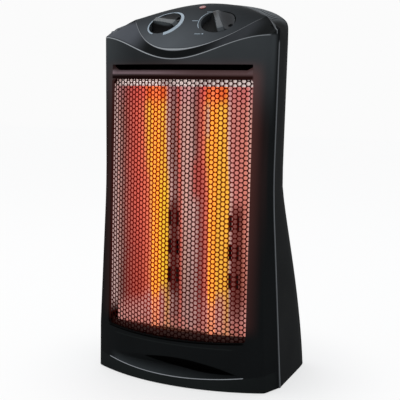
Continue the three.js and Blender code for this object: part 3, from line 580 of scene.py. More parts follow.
@dataclass(frozen=True)
class HousingPlastic(Finish):
    """Satin black mouldings, with painted highlights along the edges, a painted sheen on the console and
    upper front, painted shadow round the window and in the scoop, and a painted glow from the window on its
    margins.
    """

    name: str = "satin_black"
    # deep is the plastic's own colour; toe, upper, panel, flank, arch, edge, lip and shelf are painted light
    # and highlights; warm, jamb and wall are the painted glow of the tubes; shadow is painted shade.
    deep: Colour = (0.0088, 0.0098, 0.0102)
    toe: Colour = (0.0150, 0.0175, 0.0172)
    upper: Colour = (0.050, 0.055, 0.058)
    panel: Colour = (0.088, 0.097, 0.106)
    flank: Colour = (0.078, 0.084, 0.096)
    arch: Colour = (0.150, 0.160, 0.168)
    edge: Colour = (0.46, 0.48, 0.50)
    lip: Colour = (0.20, 0.150, 0.165)
    shelf: Colour = (0.034, 0.039, 0.041)
    warm: Colour = (0.056, 0.0150, 0.0120)
    jamb: Colour = (0.028, 0.0060, 0.0050)
    wall: Colour = (0.50, 0.33, 0.31)
    groove: Colour = (0.0015, 0.0015, 0.0015)
    shadow: Colour = (0.0008, 0.0008, 0.0008)
    specular: float = 0.003
    roughness: float = 0.45
    line_half: float = 0.62
    front_y: Pair = (-2.0, -16.0)
    lip_y: Pair = (0.0, -2.0)
    low_front_y: Pair = (-20.0, -30.0)
    over_edge: Pair = (1.0, 4.0)
    ridge_end: Pair = (114.0, 104.0)
    ridge_dim: Pair = (110.0, 20.0)
    glint_side: Pair = (135.0, 40.0)
    glint_left: Pair = (0.0, -50.0)
    crease_end: Pair = (142.0, 140.0)
    seam_side: Pair = (128.0, 131.0)
    seam_line: Pair = (1.4, 1.2)
    bead_line: Pair = (1.9, 1.3)
    bead_top: Pair = (526.0, 518.0)
    toe_half: float = 0.55
    toe_end: Pair = (119.0, 117.0)
    toe_below: Pair = (0.0, -1.0)
    toe_side: Pair = (150.0, 60.0)
    rim_half: float = 1.1
    rim_side: Pair = (30.0, 60.0)
    margin_side: Pair = (20.0, -2.0)
    margin_rise: Pair = (84.0, 430.0)
    margin_low: Pair = (82.0, 110.0)
    margin_high: Pair = (500.0, 466.0)
    margin_y: Pair = (-16.0, -24.0)
    margin_x: Pair = (-100.0, 100.0)
    inside_depth: Pair = (9.0, 12.0)
    inside_low: Pair = (78.0, 108.0)
    inside_high: Pair = (462.0, 456.0)
    inside_y: Pair = (40.0, 10.0)
    jamb_half: float = 1.2
    jamb_depth: Pair = (2.0, 4.0)
    jamb_low: Pair = (78.0, 100.0)
    jamb_high: Pair = (468.0, 455.0)
    brow_z: Pair = (380.0, 525.0)
    brow_edge: Pair = (3.0, -1.0)
    brow_middle: float = 50.0
    brow_side: Pair = (15.0, 95.0)
    flank_left: Pair = (-50.0, -95.0)
    flank_right: Pair = (45.0, 80.0)
    flank_end: Pair = (128.0, 100.0)
    flank_edge: Pair = (0.0, 3.0)
    flank_ridge: Pair = (-1.0, 1.0)
    flank_y: Pair = (20.0, 0.0)
    console_rise: Pair = (8.0, 14.0)
    console_ridge: Pair = (0.0, 2.0)
    console_y: Pair = (66.0, 40.0)
    sheen_y: Pair = (30.0, -50.0)
    sheen_x: Pair = (110.0, -20.0)
    sill_low: Pair = (472.6, 475.4)
    sill_high: Pair = (483.0, 476.0)
    sill_end: Pair = (120.5, 119.5)
    sill_x: Pair = (50.0, -40.0)
    hollow_end: Pair = (118.0, 100.0)
    crescent_top: Point = (47.5, 0.0022, 12.0)
    crescent_foot: Point = (26.0, 0.0011, 72.0)
    crescent_edge: Pair = (-0.5, 1.0)
    bar_low: Pair = (466.5, 467.5)
    bar_high: Pair = (474.0, 470.0)
    bar_end: Pair = (122.0, 119.0)
    arch_z: Pair = (540.0, 572.0)
    arch_y: Pair = (90.0, 60.0)
    arch_end: Pair = (136.0, 122.0)
    shelf_high: Pair = (16.0, 1.0)
    shelf_low: Pair = (-1.0, 0.0)
    shelf_x: Pair = (110.0, -30.0)
    under_rim: Pair = (1.2, 1.1)
    under_rim_end: Pair = (120.0, 116.0)
    step_line: Pair = (67.2, 0.7)
    step_end: Pair = (108.0, 98.0)

    def past_crease(self, x: Sock, z: Sock) -> Sock:
        """Height above the crease below the console."""
        wave = (x.size() * (math.pi / FORM.seam_half[2])).wave()
        return z - ((1 - wave) * (FORM.crease_rise / 2) + FORM.crease_low)

    def past_toe(self, x: Sock, z: Sock) -> Sock:
        """Height above the toe scoop's lower edge."""
        return z - (FORM.toe_end - FORM.toe_sag * (1 - (x * x) / FORM.toe_half**2))

    def past_band(self, x: Sock, y: Sock) -> Sock:
        """How far behind the band over the top."""
        return y - (1 - (x.size() / FORM.band_half) ** FORM.band_power) * FORM.band_reach

    def ridge(self, x: Sock) -> Sock:
        """y of the ridge between the lip and the panel."""
        return x * x / (2 * FORM.ridge_radius) + FORM.ridge_front

    def edges(self, x: Sock, y: Sock, z: Sock) -> Sock:
        """Painted highlights along the edges, where their rounds would catch the light.

        Args:
            x: across, in the seam's millimetres.
            y: along.
            z: up.

        Returns:
            The mask of painted highlights on ridge, crease, seam bead, toe and the band's rim.
        """
        side, over = x.size(), self.past_crease(x, z)
        above = over.ease(*self.over_edge)
        ridge = (y - self.ridge(x)).near(self.line_half) * above
        ridge = ridge * side.ease(*self.ridge_end) * (side.ease(*self.ridge_dim) * 0.6 + 0.4)
        glint = side.ease(*self.glint_side) * 0.35 + x.ease(*self.glint_left) * 0.3 + 0.5
        crease = over.near(self.line_half) * side.ease(*self.crease_end) * glint * y.ease(*self.lip_y)
        before, half = self.bead_line
        bead = (y + before).near(half) * side.ease(*self.seam_side) * z.ease(*self.bead_top) * 0.42
        toe = self.past_toe(x, z).near(self.toe_half) * side.ease(*self.toe_end)
        toe = toe * y.ease(*self.low_front_y) * 1.1
        rim = self.past_band(x, y).near(self.rim_half) * above * side.ease(*self.rim_side) * 0.45
        return ridge + crease + bead + toe + rim

    def window_glow(self, tree: Tree, x: Sock, y: Sock, z: Sock, bar: Sock) -> object:
        """Light of the tubes on the margins, jambs and inner walls of the window.

        Args:
            tree: the material's tree.
            x: across, in the seam's millimetres.
            y: along.
            z: up.
            bar: mask of the painted shadow over the window.

        Returns:
            The emitted colour.
        """
        form = FORM
        side = x.size()
        beside = side - form.window_half
        lean = (form.front_reach[1] - form.front_reach[2]) / (form.shoulder - form.sill)
        bow = (form.bow_radius**2 - x * x) ** 0.5
        depth = y + (form.front_reach[1] - (z - form.sill) * lean) + bow - form.bow_radius
        margin = beside.ease(*self.margin_side) * (z.ease(*self.margin_rise) * 0.6 + 0.4)
        margin = margin * z.ease(*self.margin_low) * z.ease(*self.margin_high) * y.ease(*self.margin_y)
        margin = margin * (x.ease(*self.margin_x) * 0.6 + 0.4) * (1 - bar * 0.8)
        inside = (tree.facing(0) * x / side).ease(-0.4, -0.7) * depth.ease(*self.inside_depth)
        inside = inside * z.ease(*self.inside_low) * z.ease(*self.inside_high)
        jamb = beside.near(self.jamb_half) * depth.ease(*self.jamb_depth) * z.ease(*self.jamb_low)
        jamb = jamb * z.ease(*self.jamb_high) * y.ease(*self.front_y)
        return tree.coats(
            BLACK,
            (margin * 0.85 + margin**0.5 * 0.15, self.warm),
            (inside * y.ease(*self.inside_y), self.wall),
            (jamb, self.jamb),
        )

    def paint(self, tree: Tree) -> None:
        """Paints the mouldings.

        Args:
            tree: the material's tree.
        """
        form = FORM
        x, row_y, z = tree.place()
        y = row_y - SEAM_SHIFT
        side, front, ridge = x.size(), y.ease(*self.front_y), self.ridge(x)
        fine, broad = tree.noise(2600.0), tree.noise(16.0, 3.0)
        over, above_toe = self.past_crease(x, z), self.past_toe(x, z)
        # Painted sheen on the upper front face, growing towards the crease.
        brow = z.ease(*self.brow_z) * front * over.ease(*self.brow_edge)
        brow = brow * ((x + self.brow_middle).size().ease(*self.brow_side) * 0.6 + 0.4)
        # Painted sheen on the console's flanks and panel, lighter to the left and towards the front.
        flanks = x.ease(*self.flank_left) + x.ease(*self.flank_right) * x.ease(*self.flank_end) * 0.30
        console = (z - form.crease_low).ease(*self.console_rise) * (y - ridge).ease(*self.console_ridge)
        console = console * y.ease(*self.console_y)
        sheen = (y.ease(*self.sheen_y) * 0.70 + 0.30) * (x.ease(*self.sheen_x) * 0.55 + 0.45)
        # Painted pink highlight on the lip under the outlet slot.
        sill = z.ease(*self.sill_low) * z.ease(*self.sill_high) * side.ease(*self.sill_end) * front
        hollow = side.ease(*self.hollow_end) * y.ease(*self.low_front_y)
        # Painted shadow under the scoop's overhang, between these two curves.
        height, bend, middle = self.crescent_top
        crescent_top = height - bend * (x - middle) * (x - middle)
        height, bend, middle = self.crescent_foot
        crescent_foot = height + bend * (x - middle) * (x - middle)
        rim = form.window_low - form.window_sag * (1 - (x * x) / form.window_half**2)
        # Painted shadow along the top of the window.
        bar = z.ease(*self.bar_low) * z.ease(*self.bar_high) * side.ease(*self.bar_end) * front
        # Painted highlight on the arch behind the band over the top.
        arch = self.past_band(x, y).ease(*self.over_edge) * z.ease(*self.arch_z) * y.ease(*self.arch_y)
        arch = arch * side.ease(*self.arch_end)
        flank = over.ease(*self.flank_edge) * (ridge - y).ease(*self.flank_ridge)
        flank = flank * y.ease(*self.flank_y) * flanks
        # Painted light on the scoop's floor.
        shelf = above_toe.ease(*self.shelf_high) * above_toe.ease(*self.shelf_low) * hollow
        crescent = (crescent_top - z).ease(*self.crescent_edge)
        crescent = crescent * (z - crescent_foot).ease(*self.crescent_edge)
        # Painted shadow just below the window's sill.
        below, half = self.under_rim
        under_rim = (rim - below - z).near(half) * side.ease(*self.under_rim_end) * front
        # A painted highlight line on the ledge below the window, in the toe's tone.
        step_z, step_half = self.step_line
        seam_y, seam_half = self.seam_line
        # Painted light and shade laid over the plastic's own colour; the seam's dark groove and the random
        # darker tone are its own.
        tone = tree.coats(
            self.deep,
            (brow, self.upper),
            (flank, self.flank),
            (arch, self.arch),
            (console * sheen, self.panel),
            (sill * (0.20 + x.ease(*self.sill_x) * 0.80), self.lip),
            # Painted light on the toe's front face, strongest in the middle.
            (above_toe.ease(*self.toe_below) * (side.ease(*self.toe_side) * 0.5 + 0.5) * front, self.toe),
            (shelf * x.ease(*self.shelf_x), self.shelf),
            (crescent * front, self.shadow),
            (under_rim, self.shadow),
            ((z - step_z).near(step_half) * side.ease(*self.step_end) * front, self.toe),
            (bar, self.shadow),
            ((y - seam_y).near(seam_half) * side.ease(*self.seam_side), self.groove),
            # Painted highlights along the edges, in pale lines.
            (self.edges(x, y, z) * (0.55 + broad * 0.5), self.edge),
            (0.25 * (broad - 0.2), BLACK),
        )
        tree.set(
            Base_Color=tone,
            Roughness=self.roughness + (broad - 0.5) * 0.10 + (fine - 0.5) * 0.06,
            Specular_IOR_Level=self.specular,
            Emission_Color=self.window_glow(tree, x, y, z, bar),
            Emission_Strength=1.0,
        )
        tree.bump(fine)


@dataclass(frozen=True)
class GuardSteel(Finish):
    """Black enamelled guard, with the red glow of the tubes behind it painted on."""

    name: str = "guard_black"
    colour: Colour = (0.0020, 0.0010, 0.0010)
    # grey, red, orange, deep and cool are colours of the painted glow, not of the enamel.
    grey: Colour = (0.034, 0.0020, 0.0010)
    red: Colour = (0.120, 0.0010, 0.0005)
    orange: Colour = (0.210, 0.0060, 0.0005)
    deep: Colour = (0.060, 0.0010, 0.0005)
    cool: Colour = (0.006, 0.0010, 0.0008)
    low: Pair = (78.0, 125.0)
    high: Pair = (470.0, 440.0)

    def paint(self, tree: Tree) -> None:
        """Paints the guard, with bands of the light behind it.

        Args:
            tree: the material's tree.
        """
        x, _, z = tree.place()
        fine = tree.noise(1800.0)
        grey, red, orange, deep = self.grey, self.red, self.orange, self.deep
        light = tree.bands(x, FORM.window_half, (
            (-116, grey), (-98, grey), (-80, red), (-55, red), (-38, orange), (-16, orange), (-4, deep),
            (8, deep), (36, grey), (46, red), (56, red), (82, red), (98, deep), (112, grey)))
        tree.set(
            Base_Color=tree.blend(fine, scaled(self.colour, 0.6), self.colour),
            Roughness=0.50 + (fine - 0.5) * 0.2,
            Specular_IOR_Level=0.0,
            Emission_Color=tree.blend(z.ease(*self.low) * z.ease(*self.high), self.cool, light),
            Emission_Strength=1.0,
        )
        tree.bump(fine)


@dataclass(frozen=True)
class GlowingReflector(Finish):
    """Rolled bright troughs that mirror the tubes as bands of amber, ember and rose light."""

    name: str = "glowing_reflector"
    half: float = 118.0
    ash: Colour = (0.30, 0.155, 0.140)
    rose: Colour = (0.62, 0.38, 0.35)
    brick: Colour = (0.50, 0.130, 0.105)
    rust: Colour = (0.72, 0.135, 0.095)
    ember: Colour = (0.88, 0.210, 0.120)
    amber: Colour = (0.98, 0.50, 0.055)
    dusk: Colour = (0.075, 0.012, 0.009)
    blush: Colour = (0.58, 0.27, 0.24)
    coral: Colour = (0.62, 0.215, 0.185)
    cherry: Colour = (0.50, 0.09, 0.07)
    sunny: Colour = (1.0, 0.62, 0.03)
    hot: Colour = (0.90, 0.30, 0.62)
    roughness: float = 0.34
    wander: float = 6.0
    drift: float = 5.0
    drift_z: Pair = (390.0, 250.0)
    drift_x: Pair = (-105.0, -88.0)
    left_core: Pair = (-81.0, 12.5)
    right_core: Pair = (27.0, 13.5)
    blotch_x: Pair = (7.0, 5.0)
    blotch_z: Pair = (312.0, 30.0)
    left_vent: Pair = (-55.0, 9.0)
    left_vent_foot: Pair = (105.0, 125.0)
    right_vent: Pair = (62.0, 12.0)
    right_vent_foot: Pair = (75.0, 95.0)
    vent_top: Pair = (285.0, 255.0)
    sunny_x: Pair = (-73.0, 8.0)
    sunny_top: Pair = (330.0, 280.0)
    sunny_foot: Pair = (118.0, 150.0)
    glare_x: Pair = (19.0, 5.0)
    glare_z: Pair = (402.0, 24.0)
    foot_z: Pair = (124.0, 92.0)
    foot_side: Pair = (66.0, 84.0)
    foot_core: Pair = (138.0, 110.0)
    dim_z: Pair = (270.0, 110.0)
    hot_z: Pair = (418.0, 446.0)

    def bands(self) -> tuple[tuple[float, Colour], ...]:
        """Bands of mirrored light across both troughs.

        Returns:
            Places in millimetres, with their colours.
        """
        ash, rose, brick, rust, ember, amber, coral = (
            self.ash, self.rose, self.brick, self.rust, self.ember, self.amber, self.coral)
        return (
            (-117, rose), (-113, ash), (-108, brick), (-101, rust), (-95, ember), (-90, amber), (-70, amber),
            (-66, rose), (-59, ash), (-53, ash), (-47, rust), (-41, rose), (-20, rose), (1, rose), (4, ash),
            (8, brick), (12, ember), (16, amber), (40, amber), (43, rose), (50, coral), (66, coral),
            (78, coral), (86, rose), (96, ash), (117, brick))

    def paint(self, tree: Tree) -> None:
        """Paints both troughs.

        Args:
            tree: the material's tree.
        """
        x, _, z = tree.place()
        wander = (tree.noise(14.0, 2.0, (0.3, 0.3, 1.0)) - 0.5) * self.wander
        ripple = tree.noise(240.0, 2.0, (1.0, 1.0, 0.05))
        drift = z.ease(*self.drift_z) * x.ease(*self.drift_x) * self.drift
        core = x.about(*self.left_core) + x.about(*self.right_core)
        blotch = x.about(*self.blotch_x) * z.about(*self.blotch_z)
        # Painted shade over the vent slots in both troughs.
        left_vent_shade = x.about(*self.left_vent) * z.ease(*self.vent_top) * z.ease(*self.left_vent_foot)
        right_vent_shade = x.about(*self.right_vent) * z.ease(*self.vent_top) * z.ease(*self.right_vent_foot)
        sunny = x.about(*self.sunny_x) * z.ease(*self.sunny_top) * z.ease(*self.sunny_foot)
        glare = x.about(*self.glare_x) * z.about(*self.glare_z)
        foot = z.ease(*self.foot_z) * (x.size().ease(*self.foot_side) * 0.75 + 0.2)
        foot = foot + z.ease(*self.foot_core) * core * 0.75
        light = tree.coats(
            tree.bands(x + wander - drift, self.half, self.bands()),
            (z.ease(*self.dim_z) * (1 - core) * 0.32, BLACK),
            (blotch * 0.85, self.cherry),
            (left_vent_shade * 0.85, self.dusk),
            (right_vent_shade * 0.8, self.dusk),
            (sunny * 0.7, self.sunny),
            (glare * 0.8, self.rose),
            (z.ease(*self.hot_z) * (core + 0.25) * 0.9, self.hot, "MULTIPLY"),
            (foot, self.blush),
            (ripple * 0.35, BLACK),
            (tree.facing(1).ease(-0.02, 0.02), BLACK),
        )
        tree.set(
            Base_Color=tree.blend(0.70, light, (0.02, 0.02, 0.02)),
            Metallic=1.0,
            Roughness=self.roughness + (ripple - 0.5) * 0.2,
            Emission_Color=light,
            Emission_Strength=1.0,
        )
        tree.bump(ripple, 0.00004)


@dataclass(frozen=True)
class GlowingQuartz(Finish):
    """Clear quartz around a glowing coil: amber along the middle, red and pink towards its cold ends."""

    name: str = "glowing_quartz"
    body: Colour = (0.96, 0.56, 0.15)
    amber: Colour = (1.0, 0.47, 0.045)
    red: Colour = (0.80, 0.16, 0.07)
    pink: Colour = (0.70, 0.34, 0.29)
    turn: float = 2.6
    low: Pair = (112.0, 138.0)
    high: Pair = (446.0, 412.0)
    halfway: Pair = (200.0, 300.0)

    def paint(self, tree: Tree) -> None:
        """Paints the tube.

        Args:
            tree: the material's tree.
        """
        _, _, z = tree.place()
        middle = z.ease(*self.low) * z.ease(*self.high)
        turns = (z * (TURN / self.turn)).wave() * 0.5 + 0.5
        cloud = tree.noise(60.0)
        light = tree.blend(middle, tree.blend(z.ease(*self.halfway), self.pink, self.red), self.amber)
        tree.set(
            Base_Color=self.body,
            Roughness=0.10 + (cloud - 0.5) * 0.08,
            Transmission_Weight=0.6,
            IOR=1.46,
            Emission_Color=tree.blend((1 - turns) * 0.14 + cloud * 0.06, light, BLACK),
            Emission_Strength=0.38,
        )


@dataclass(frozen=True)
class GlowingWire(Finish):
    """Hot resistance wire, yellow along the middle and dull red at its leads."""

    name: str = "glowing_wire"
    middle: Colour = (1.0, 0.50, 0.07)
    ends: Colour = (0.45, 0.10, 0.06)
    low: Pair = (84.0, 110.0)
    high: Pair = (452.0, 426.0)

    def paint(self, tree: Tree) -> None:
        """Paints the wire.

        Args:
            tree: the material's tree.
        """
        _, _, z = tree.place()
        scale = tree.noise(900.0, 3.0)
        light = tree.blend(z.ease(*self.low) * z.ease(*self.high), self.ends, self.middle)
        tree.set(
            Base_Color=tree.blend(scale, (0.05, 0.04, 0.04), (0.12, 0.10, 0.09)),
            Metallic=0.6,
            Roughness=0.5 + (scale - 0.5) * 0.3,
            Emission_Color=tree.blend(scale * 0.25, light, BLACK),
            Emission_Strength=0.75,
        )


@dataclass(frozen=True)
class LitShadedPlate(Finish):
    """End plates: bright rolled sheet, darkened brown towards the lower end by painted shade, with painted
    shade on the upper plate's middle, top and right side, and a painted glow on both.
    """

    name: str = "heated_plate"
    bright: Colour = (0.80, 0.74, 0.72)
    shaded_brown: Colour = (0.045, 0.020, 0.016)
    upper_glow: Colour = (0.40, 0.29, 0.27)
    lower_glow: Colour = (0.16, 0.045, 0.036)
    dim: Colour = (0.008, 0.002, 0.0015)
    lower_z: Pair = (300.0, 200.0)
    lower_shade_y: Pair = (-14.0, -30.0)
    lip_shadow_x: Pair = (-14.0, 12.0)
    above_z: Pair = (466.0, 470.0)
    right_x: Pair = (20.0, 45.0)

    def paint(self, tree: Tree) -> None:
        """Paints both plates.

        Args:
            tree: the material's tree.
        """
        x, row_y, z = tree.place()
        lines = tree.noise(700.0, 2.0, (0.04, 1.0, 1.0))
        # Painted shade: the lower plate, a band in the upper plate's middle, and the upper plate's top faces
        # and right side.
        lower = z.ease(*self.lower_z)
        lower_shade = lower * (row_y - SEAM_SHIFT).ease(*self.lower_shade_y)
        middle = x.about(*self.lip_shadow_x) * (1 - lower) * 0.5
        hidden_shade = z.ease(*self.above_z) + tree.facing(2).ease(0.5, 0.8) + x.ease(*self.right_x) * 0.35
        hidden_shade = hidden_shade * (1 - lower)
        glow = tree.blend(lower, self.upper_glow, self.lower_glow)
        # The painted shade, with a little random tone, darkens the sheet.
        shade_and_tone = lower_shade + middle + hidden_shade + tree.noise(40.0, 3.0) * 0.12
        tree.set(
            Base_Color=tree.blend(shade_and_tone, self.bright, self.shaded_brown),
            Metallic=1 - lower_shade * 0.5,
            Roughness=0.30 + lower_shade * 0.25 + (lines - 0.5) * 0.15,
            Emission_Color=tree.blend(lower_shade + hidden_shade + middle * 0.6, glow, self.dim),
            Emission_Strength=1.0,
        )
        tree.bump(lines, strength=0.4)


@dataclass(frozen=True)
class Ceramic(Finish):
    """Unglazed steatite with a dry, faintly speckled face."""

    name: str = "steatite"
    colour: Colour = (0.62, 0.56, 0.47)

    def paint(self, tree: Tree) -> None:
        """Paints the caps.

        Args:
            tree: the material's tree.
        """
        grit = tree.noise(3200.0, 3.0)
        tree.set(
            Base_Color=tree.blend(tree.noise(70.0, 3.0) * 0.5, self.colour, scaled(self.colour, 0.55)),
            Roughness=0.78 + (grit - 0.5) * 0.2,
        )
        tree.bump(grit, 0.00004, 0.8)


@dataclass(frozen=True)
class KnobPlastic(Finish):
    """Satin knob, with a painted highlight on its bar and crest, painted shade down in its hollows, and its
    far hollow painted lighter than the near one.
    """

    name: str
    across: float
    turn: float
    # bar, near, far and crest are painted tones: highlight on the bar, shade in the near hollow, a lighter
    # far hollow and highlight on the crest.
    bar: Colour
    near: Colour
    far: Colour
    dark_end: float
    crest: Colour = (0.30, 0.33, 0.35)
    specular: float = 0.10
    hollow_rise: Pair = (3.4, -5.5)
    side_across: Pair = (-1.0, 1.0)
    bar_across: Pair = (5.6, 3.8)
    bar_fade: float = 18.0
    crest_rise: Pair = (4.1, 0.25)

    def paint(self, tree: Tree) -> None:
        """Paints the knob in its own axes.

        Args:
            tree: the material's tree.
        """
        frame = FORM.console_frame(self.across, FORM.knob_y)
        foot = frame.translation / MM
        x, y, z = tree.place()
        turned = frame.to_3x3() @ Matrix.Rotation(math.radians(self.turn), 3, "Z")
        along, across, rise = (x * way.x + y * way.y + z * way.z - way.dot(foot) for way in turned.col)
        fine, broad = tree.noise(2600.0), tree.noise(40.0, 3.0)
        # Painted shade down in the hollows, and the bar's painted highlight, which starts past its dark end.
        deep = rise.ease(*self.hollow_rise)
        bar = across.size().ease(*self.bar_across) * along.ease(self.dark_end, self.dark_end + self.bar_fade)
        tone = tree.coats(
            self.near,
            (across.ease(*self.side_across), self.far),
            (deep * 0.8, self.near),
            (bar, self.bar),
            (rise.about(*self.crest_rise) * (0.15 + broad * 0.35), self.crest),
        )
        tree.set(
            Base_Color=tone,
            Roughness=0.27 + deep * 0.45 + (fine - 0.5) * 0.06,
            Specular_IOR_Level=self.specular,
        )
        tree.bump(fine)


@dataclass(frozen=True)
class LampLens(Finish):
    """Red pilot lens with fine moulded rings, lit from within."""

    name: str = "pilot_red"
    red: Colour = (0.16, 0.008, 0.008)
    dark: Colour = (0.12, 0.002, 0.002)
    glow: Colour = (0.12, 0.003, 0.003)
    ring: float = 0.8
    rim: Pair = (0.5, 4.2)

    def paint(self, tree: Tree) -> None:
        """Paints the lens about its middle.

        Args:
            tree: the material's tree.
        """
        x, y, _ = tree.place()
        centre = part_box("pilot_lens")
        middle_x, middle_y = ((low + high) / 2 / MM for low, high in list(zip(*centre))[:2])
        out = ((x - middle_x) ** 2 + (y - middle_y) ** 2) ** 0.5
        rings = (out * (TURN / self.ring)).wave() * 0.5 + 0.5
        tree.set(
            Base_Color=tree.blend(rings * 0.3, self.red, self.dark),
            Roughness=0.16 + rings * 0.08,
            Coat_Weight=0.15,
            Emission_Color=tree.blend(out.ease(*self.rim), self.glow, scaled(self.glow, 0.35)),
            Emission_Strength=1.0,
        )
        tree.bump(rings, 0.00008, 0.6)


# Solids


def placed(name: str, data: bpy.types.ID) -> bpy.types.Object:
    """Puts a mesh, light or camera into the scene.

    Args:
        name: the object's name.
        data: what it shows.

    Returns:
        The object.
    """
    item = bpy.data.objects.new(name, data)
    bpy.context.scene.collection.objects.link(item)
    return item


class Solid:
    """A closed mesh that is joined and cut, and then shown as a piece."""

    def __init__(self, name: str, points: Sequence[Point], faces: Sequence[Sequence[int]]) -> None:
        """Makes the mesh, with every face turned out.

        Args:
            name: the piece's name.
            points: corners, in metres.
            faces: corners of each face.
        """
        mesh = bpy.data.meshes.new(name)
        mesh.from_pydata(points, [], faces)
        self.piece = placed(name, mesh)
        work = bmesh.new()
        work.from_mesh(mesh)
        bmesh.ops.remove_doubles(work, verts=work.verts, dist=SAME_PLACE)
        bmesh.ops.recalc_face_normals(work, faces=work.faces)
        work.to_mesh(mesh)
        work.free()

    def modified(self, kind: str, **settings: object) -> "Solid":
        """Applies one modifier.

        Args:
            kind: the modifier's type.
            settings: its properties.

        Returns:
            This solid.
        """
        modifier = self.piece.modifiers.new(kind.lower(), kind)
        for key, value in settings.items():
            setattr(modifier, key, value)
        graph = bpy.context.evaluated_depsgraph_get()
        mesh = bpy.data.meshes.new_from_object(self.piece.evaluated_get(graph))
        old = self.piece.data
        mesh.name = old.name
        self.piece.modifiers.clear()
        self.piece.data = mesh
        bpy.data.meshes.remove(old)
        return self

    def boolean(self, other: "Solid", operation: str) -> "Solid":
        """Joins or cuts with another solid, which is used up.

        Args:
            other: the tool.
            operation: UNION, DIFFERENCE or INTERSECT.

        Returns:
            This solid.
        """
        self.modified("BOOLEAN", object=other.piece, operation=operation, solver="MANIFOLD")
        bpy.data.objects.remove(other.piece)
        if not self.piece.data.vertices:
            raise RuntimeError(f"{self.piece.name}: nothing is left after {operation}")
        return self

    def cut(self, *tools: "Solid") -> "Solid":
        """Cuts with each tool in turn.

        Args:
            tools: the tools, which are used up.

        Returns:
            This solid.
        """
        for tool in tools:
            self.boolean(tool, "DIFFERENCE")
        return self

    def moved(self, place: Matrix) -> "Solid":
        """Moves the mesh itself by a matrix."""
        self.piece.data.transform(place)
        return self

    def copy(self) -> "Solid":
        """A second solid of the same form.

        Returns:
            The copy.
        """
        twin = object.__new__(Solid)
        twin.piece = self.piece.copy()
        twin.piece.data = self.piece.data.copy()
        bpy.context.scene.collection.objects.link(twin.piece)
        return twin

    def smooth(self, degrees: float = 32.0) -> "Solid":
        """Shades smooth, with edges sharper than an angle kept sharp.

        Args:
            degrees: the angle.

        Returns:
            This solid.
        """
        mesh = self.piece.data
        work = bmesh.new()
        work.from_mesh(mesh)
        bmesh.ops.remove_doubles(work, verts=work.verts, dist=SLIVER)
        bmesh.ops.dissolve_degenerate(work, edges=work.edges, dist=SLIVER)
        for face in work.faces:
            face.smooth = True
        for edge in work.edges:
            edge.smooth = edge.is_manifold and edge.calc_face_angle(math.pi) < math.radians(degrees)
        work.to_mesh(mesh)
        work.free()
        return self.modified("WEIGHTED_NORMAL", keep_sharp=True)

    def show(self, body: str, finish: bpy.types.Material, slot: str, *nodes: str) -> None:
        """Makes the solid a piece of the heater.

        Args:
            body: the CAD body that it rides on.
            finish: its material.
            slot: the record's material slot; not used.
            nodes: the CAD nodes that it stands for.
        """
        piece = self.piece
        piece.data.materials.clear()
        piece.data.materials.append(finish)
        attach(piece, body)
        if nodes:
            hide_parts(*nodes)
        log.info("%s: %d faces on %s", piece.name, len(piece.data.polygons), body)


def loft(name: str, rings: Sequence[Sequence[Point]], closed: bool = False) -> Solid:
    """A closed skin through rings of equal count.

    Args:
        name: the solid's name.
        rings: the rings' points, in metres.
        closed: whether the last ring joins the first, instead of both ends being capped.

    Returns:
        The solid.
    """
    count = len(rings[0])
    faces = []
    for r in range(len(rings) if closed else len(rings) - 1):
        s = (r + 1) % len(rings)
        for i in range(count):
            j = (i + 1) % count
            faces.append((r * count + i, r * count + j, s * count + j, s * count + i))
    if not closed:
        last = (len(rings) - 1) * count
        faces += [tuple(range(count))[::-1], tuple(range(last, last + count))]
    return Solid(name, [point for ring in rings for point in ring], faces)


def block(name: str, low: Point, high: Point) -> Solid:
    """A block between two corners, in the seam's millimetres.

    Args:
        name: the solid's name.
        low: the lower corner.
        high: the upper corner.

    Returns:
        The solid.
    """
    (x0, y0, z0), (x1, y1, z1) = low, high
    return loft(name, [[at(x0, y0, z), at(x1, y0, z), at(x1, y1, z), at(x0, y1, z)] for z in (z0, z1)])


def turned(name: str, profile: Sequence[Pair], sides: int = 96) -> Solid:
    """A profile turned about +Z.

    Args:
        name: the solid's name.
        profile: (radius, z) points in millimetres, from the axis out and back to it.
        sides: how many.

    Returns:
        The solid, in metres about the origin.
    """
    angles = [TURN * k / sides for k in range(sides)]
    rings = [[(r * math.cos(a) * MM, r * math.sin(a) * MM, z * MM) for r, z in profile] for a in angles]
    return loft(name, rings, closed=True)


def rod(name: str, radius: float, low: float, high: float, sides: int = 96) -> Solid:
    """A cylinder about +Z, in millimetres."""
    return turned(name, ((0, low), (radius, low), (radius, high), (0, high)), sides)


def arc(start: Vector, corner: Vector, end: Vector, steps: int) -> list[Vector]:
    """A curve from start to end that a corner pulls out."""
    return [start.lerp(corner, t).lerp(corner.lerp(end, t), t) for t in (k / steps for k in range(steps + 1))]


def rounded(corners: Sequence[Vector], radii: Sequence[float], steps: int = 5) -> list[Vector]:
    """An open line with some of its corners rounded.

    Args:
        corners: the corners.
        radii: how far before and after each corner its round runs, or 0.
        steps: pieces to a round.

    Returns:
        The line's points.
    """
    points = []
    for k, (corner, radius) in enumerate(zip(corners, radii)):
        if radius <= 0:
            points.append(corner)
            continue
        ends = [corner.lerp(other, min(radius / max((corner - other).length, 1e-6), 0.45))
                for other in (corners[k - 1], corners[k + 1])]
        points += arc(ends[0], corner, ends[1], steps)
    return points


# Sub-assemblies


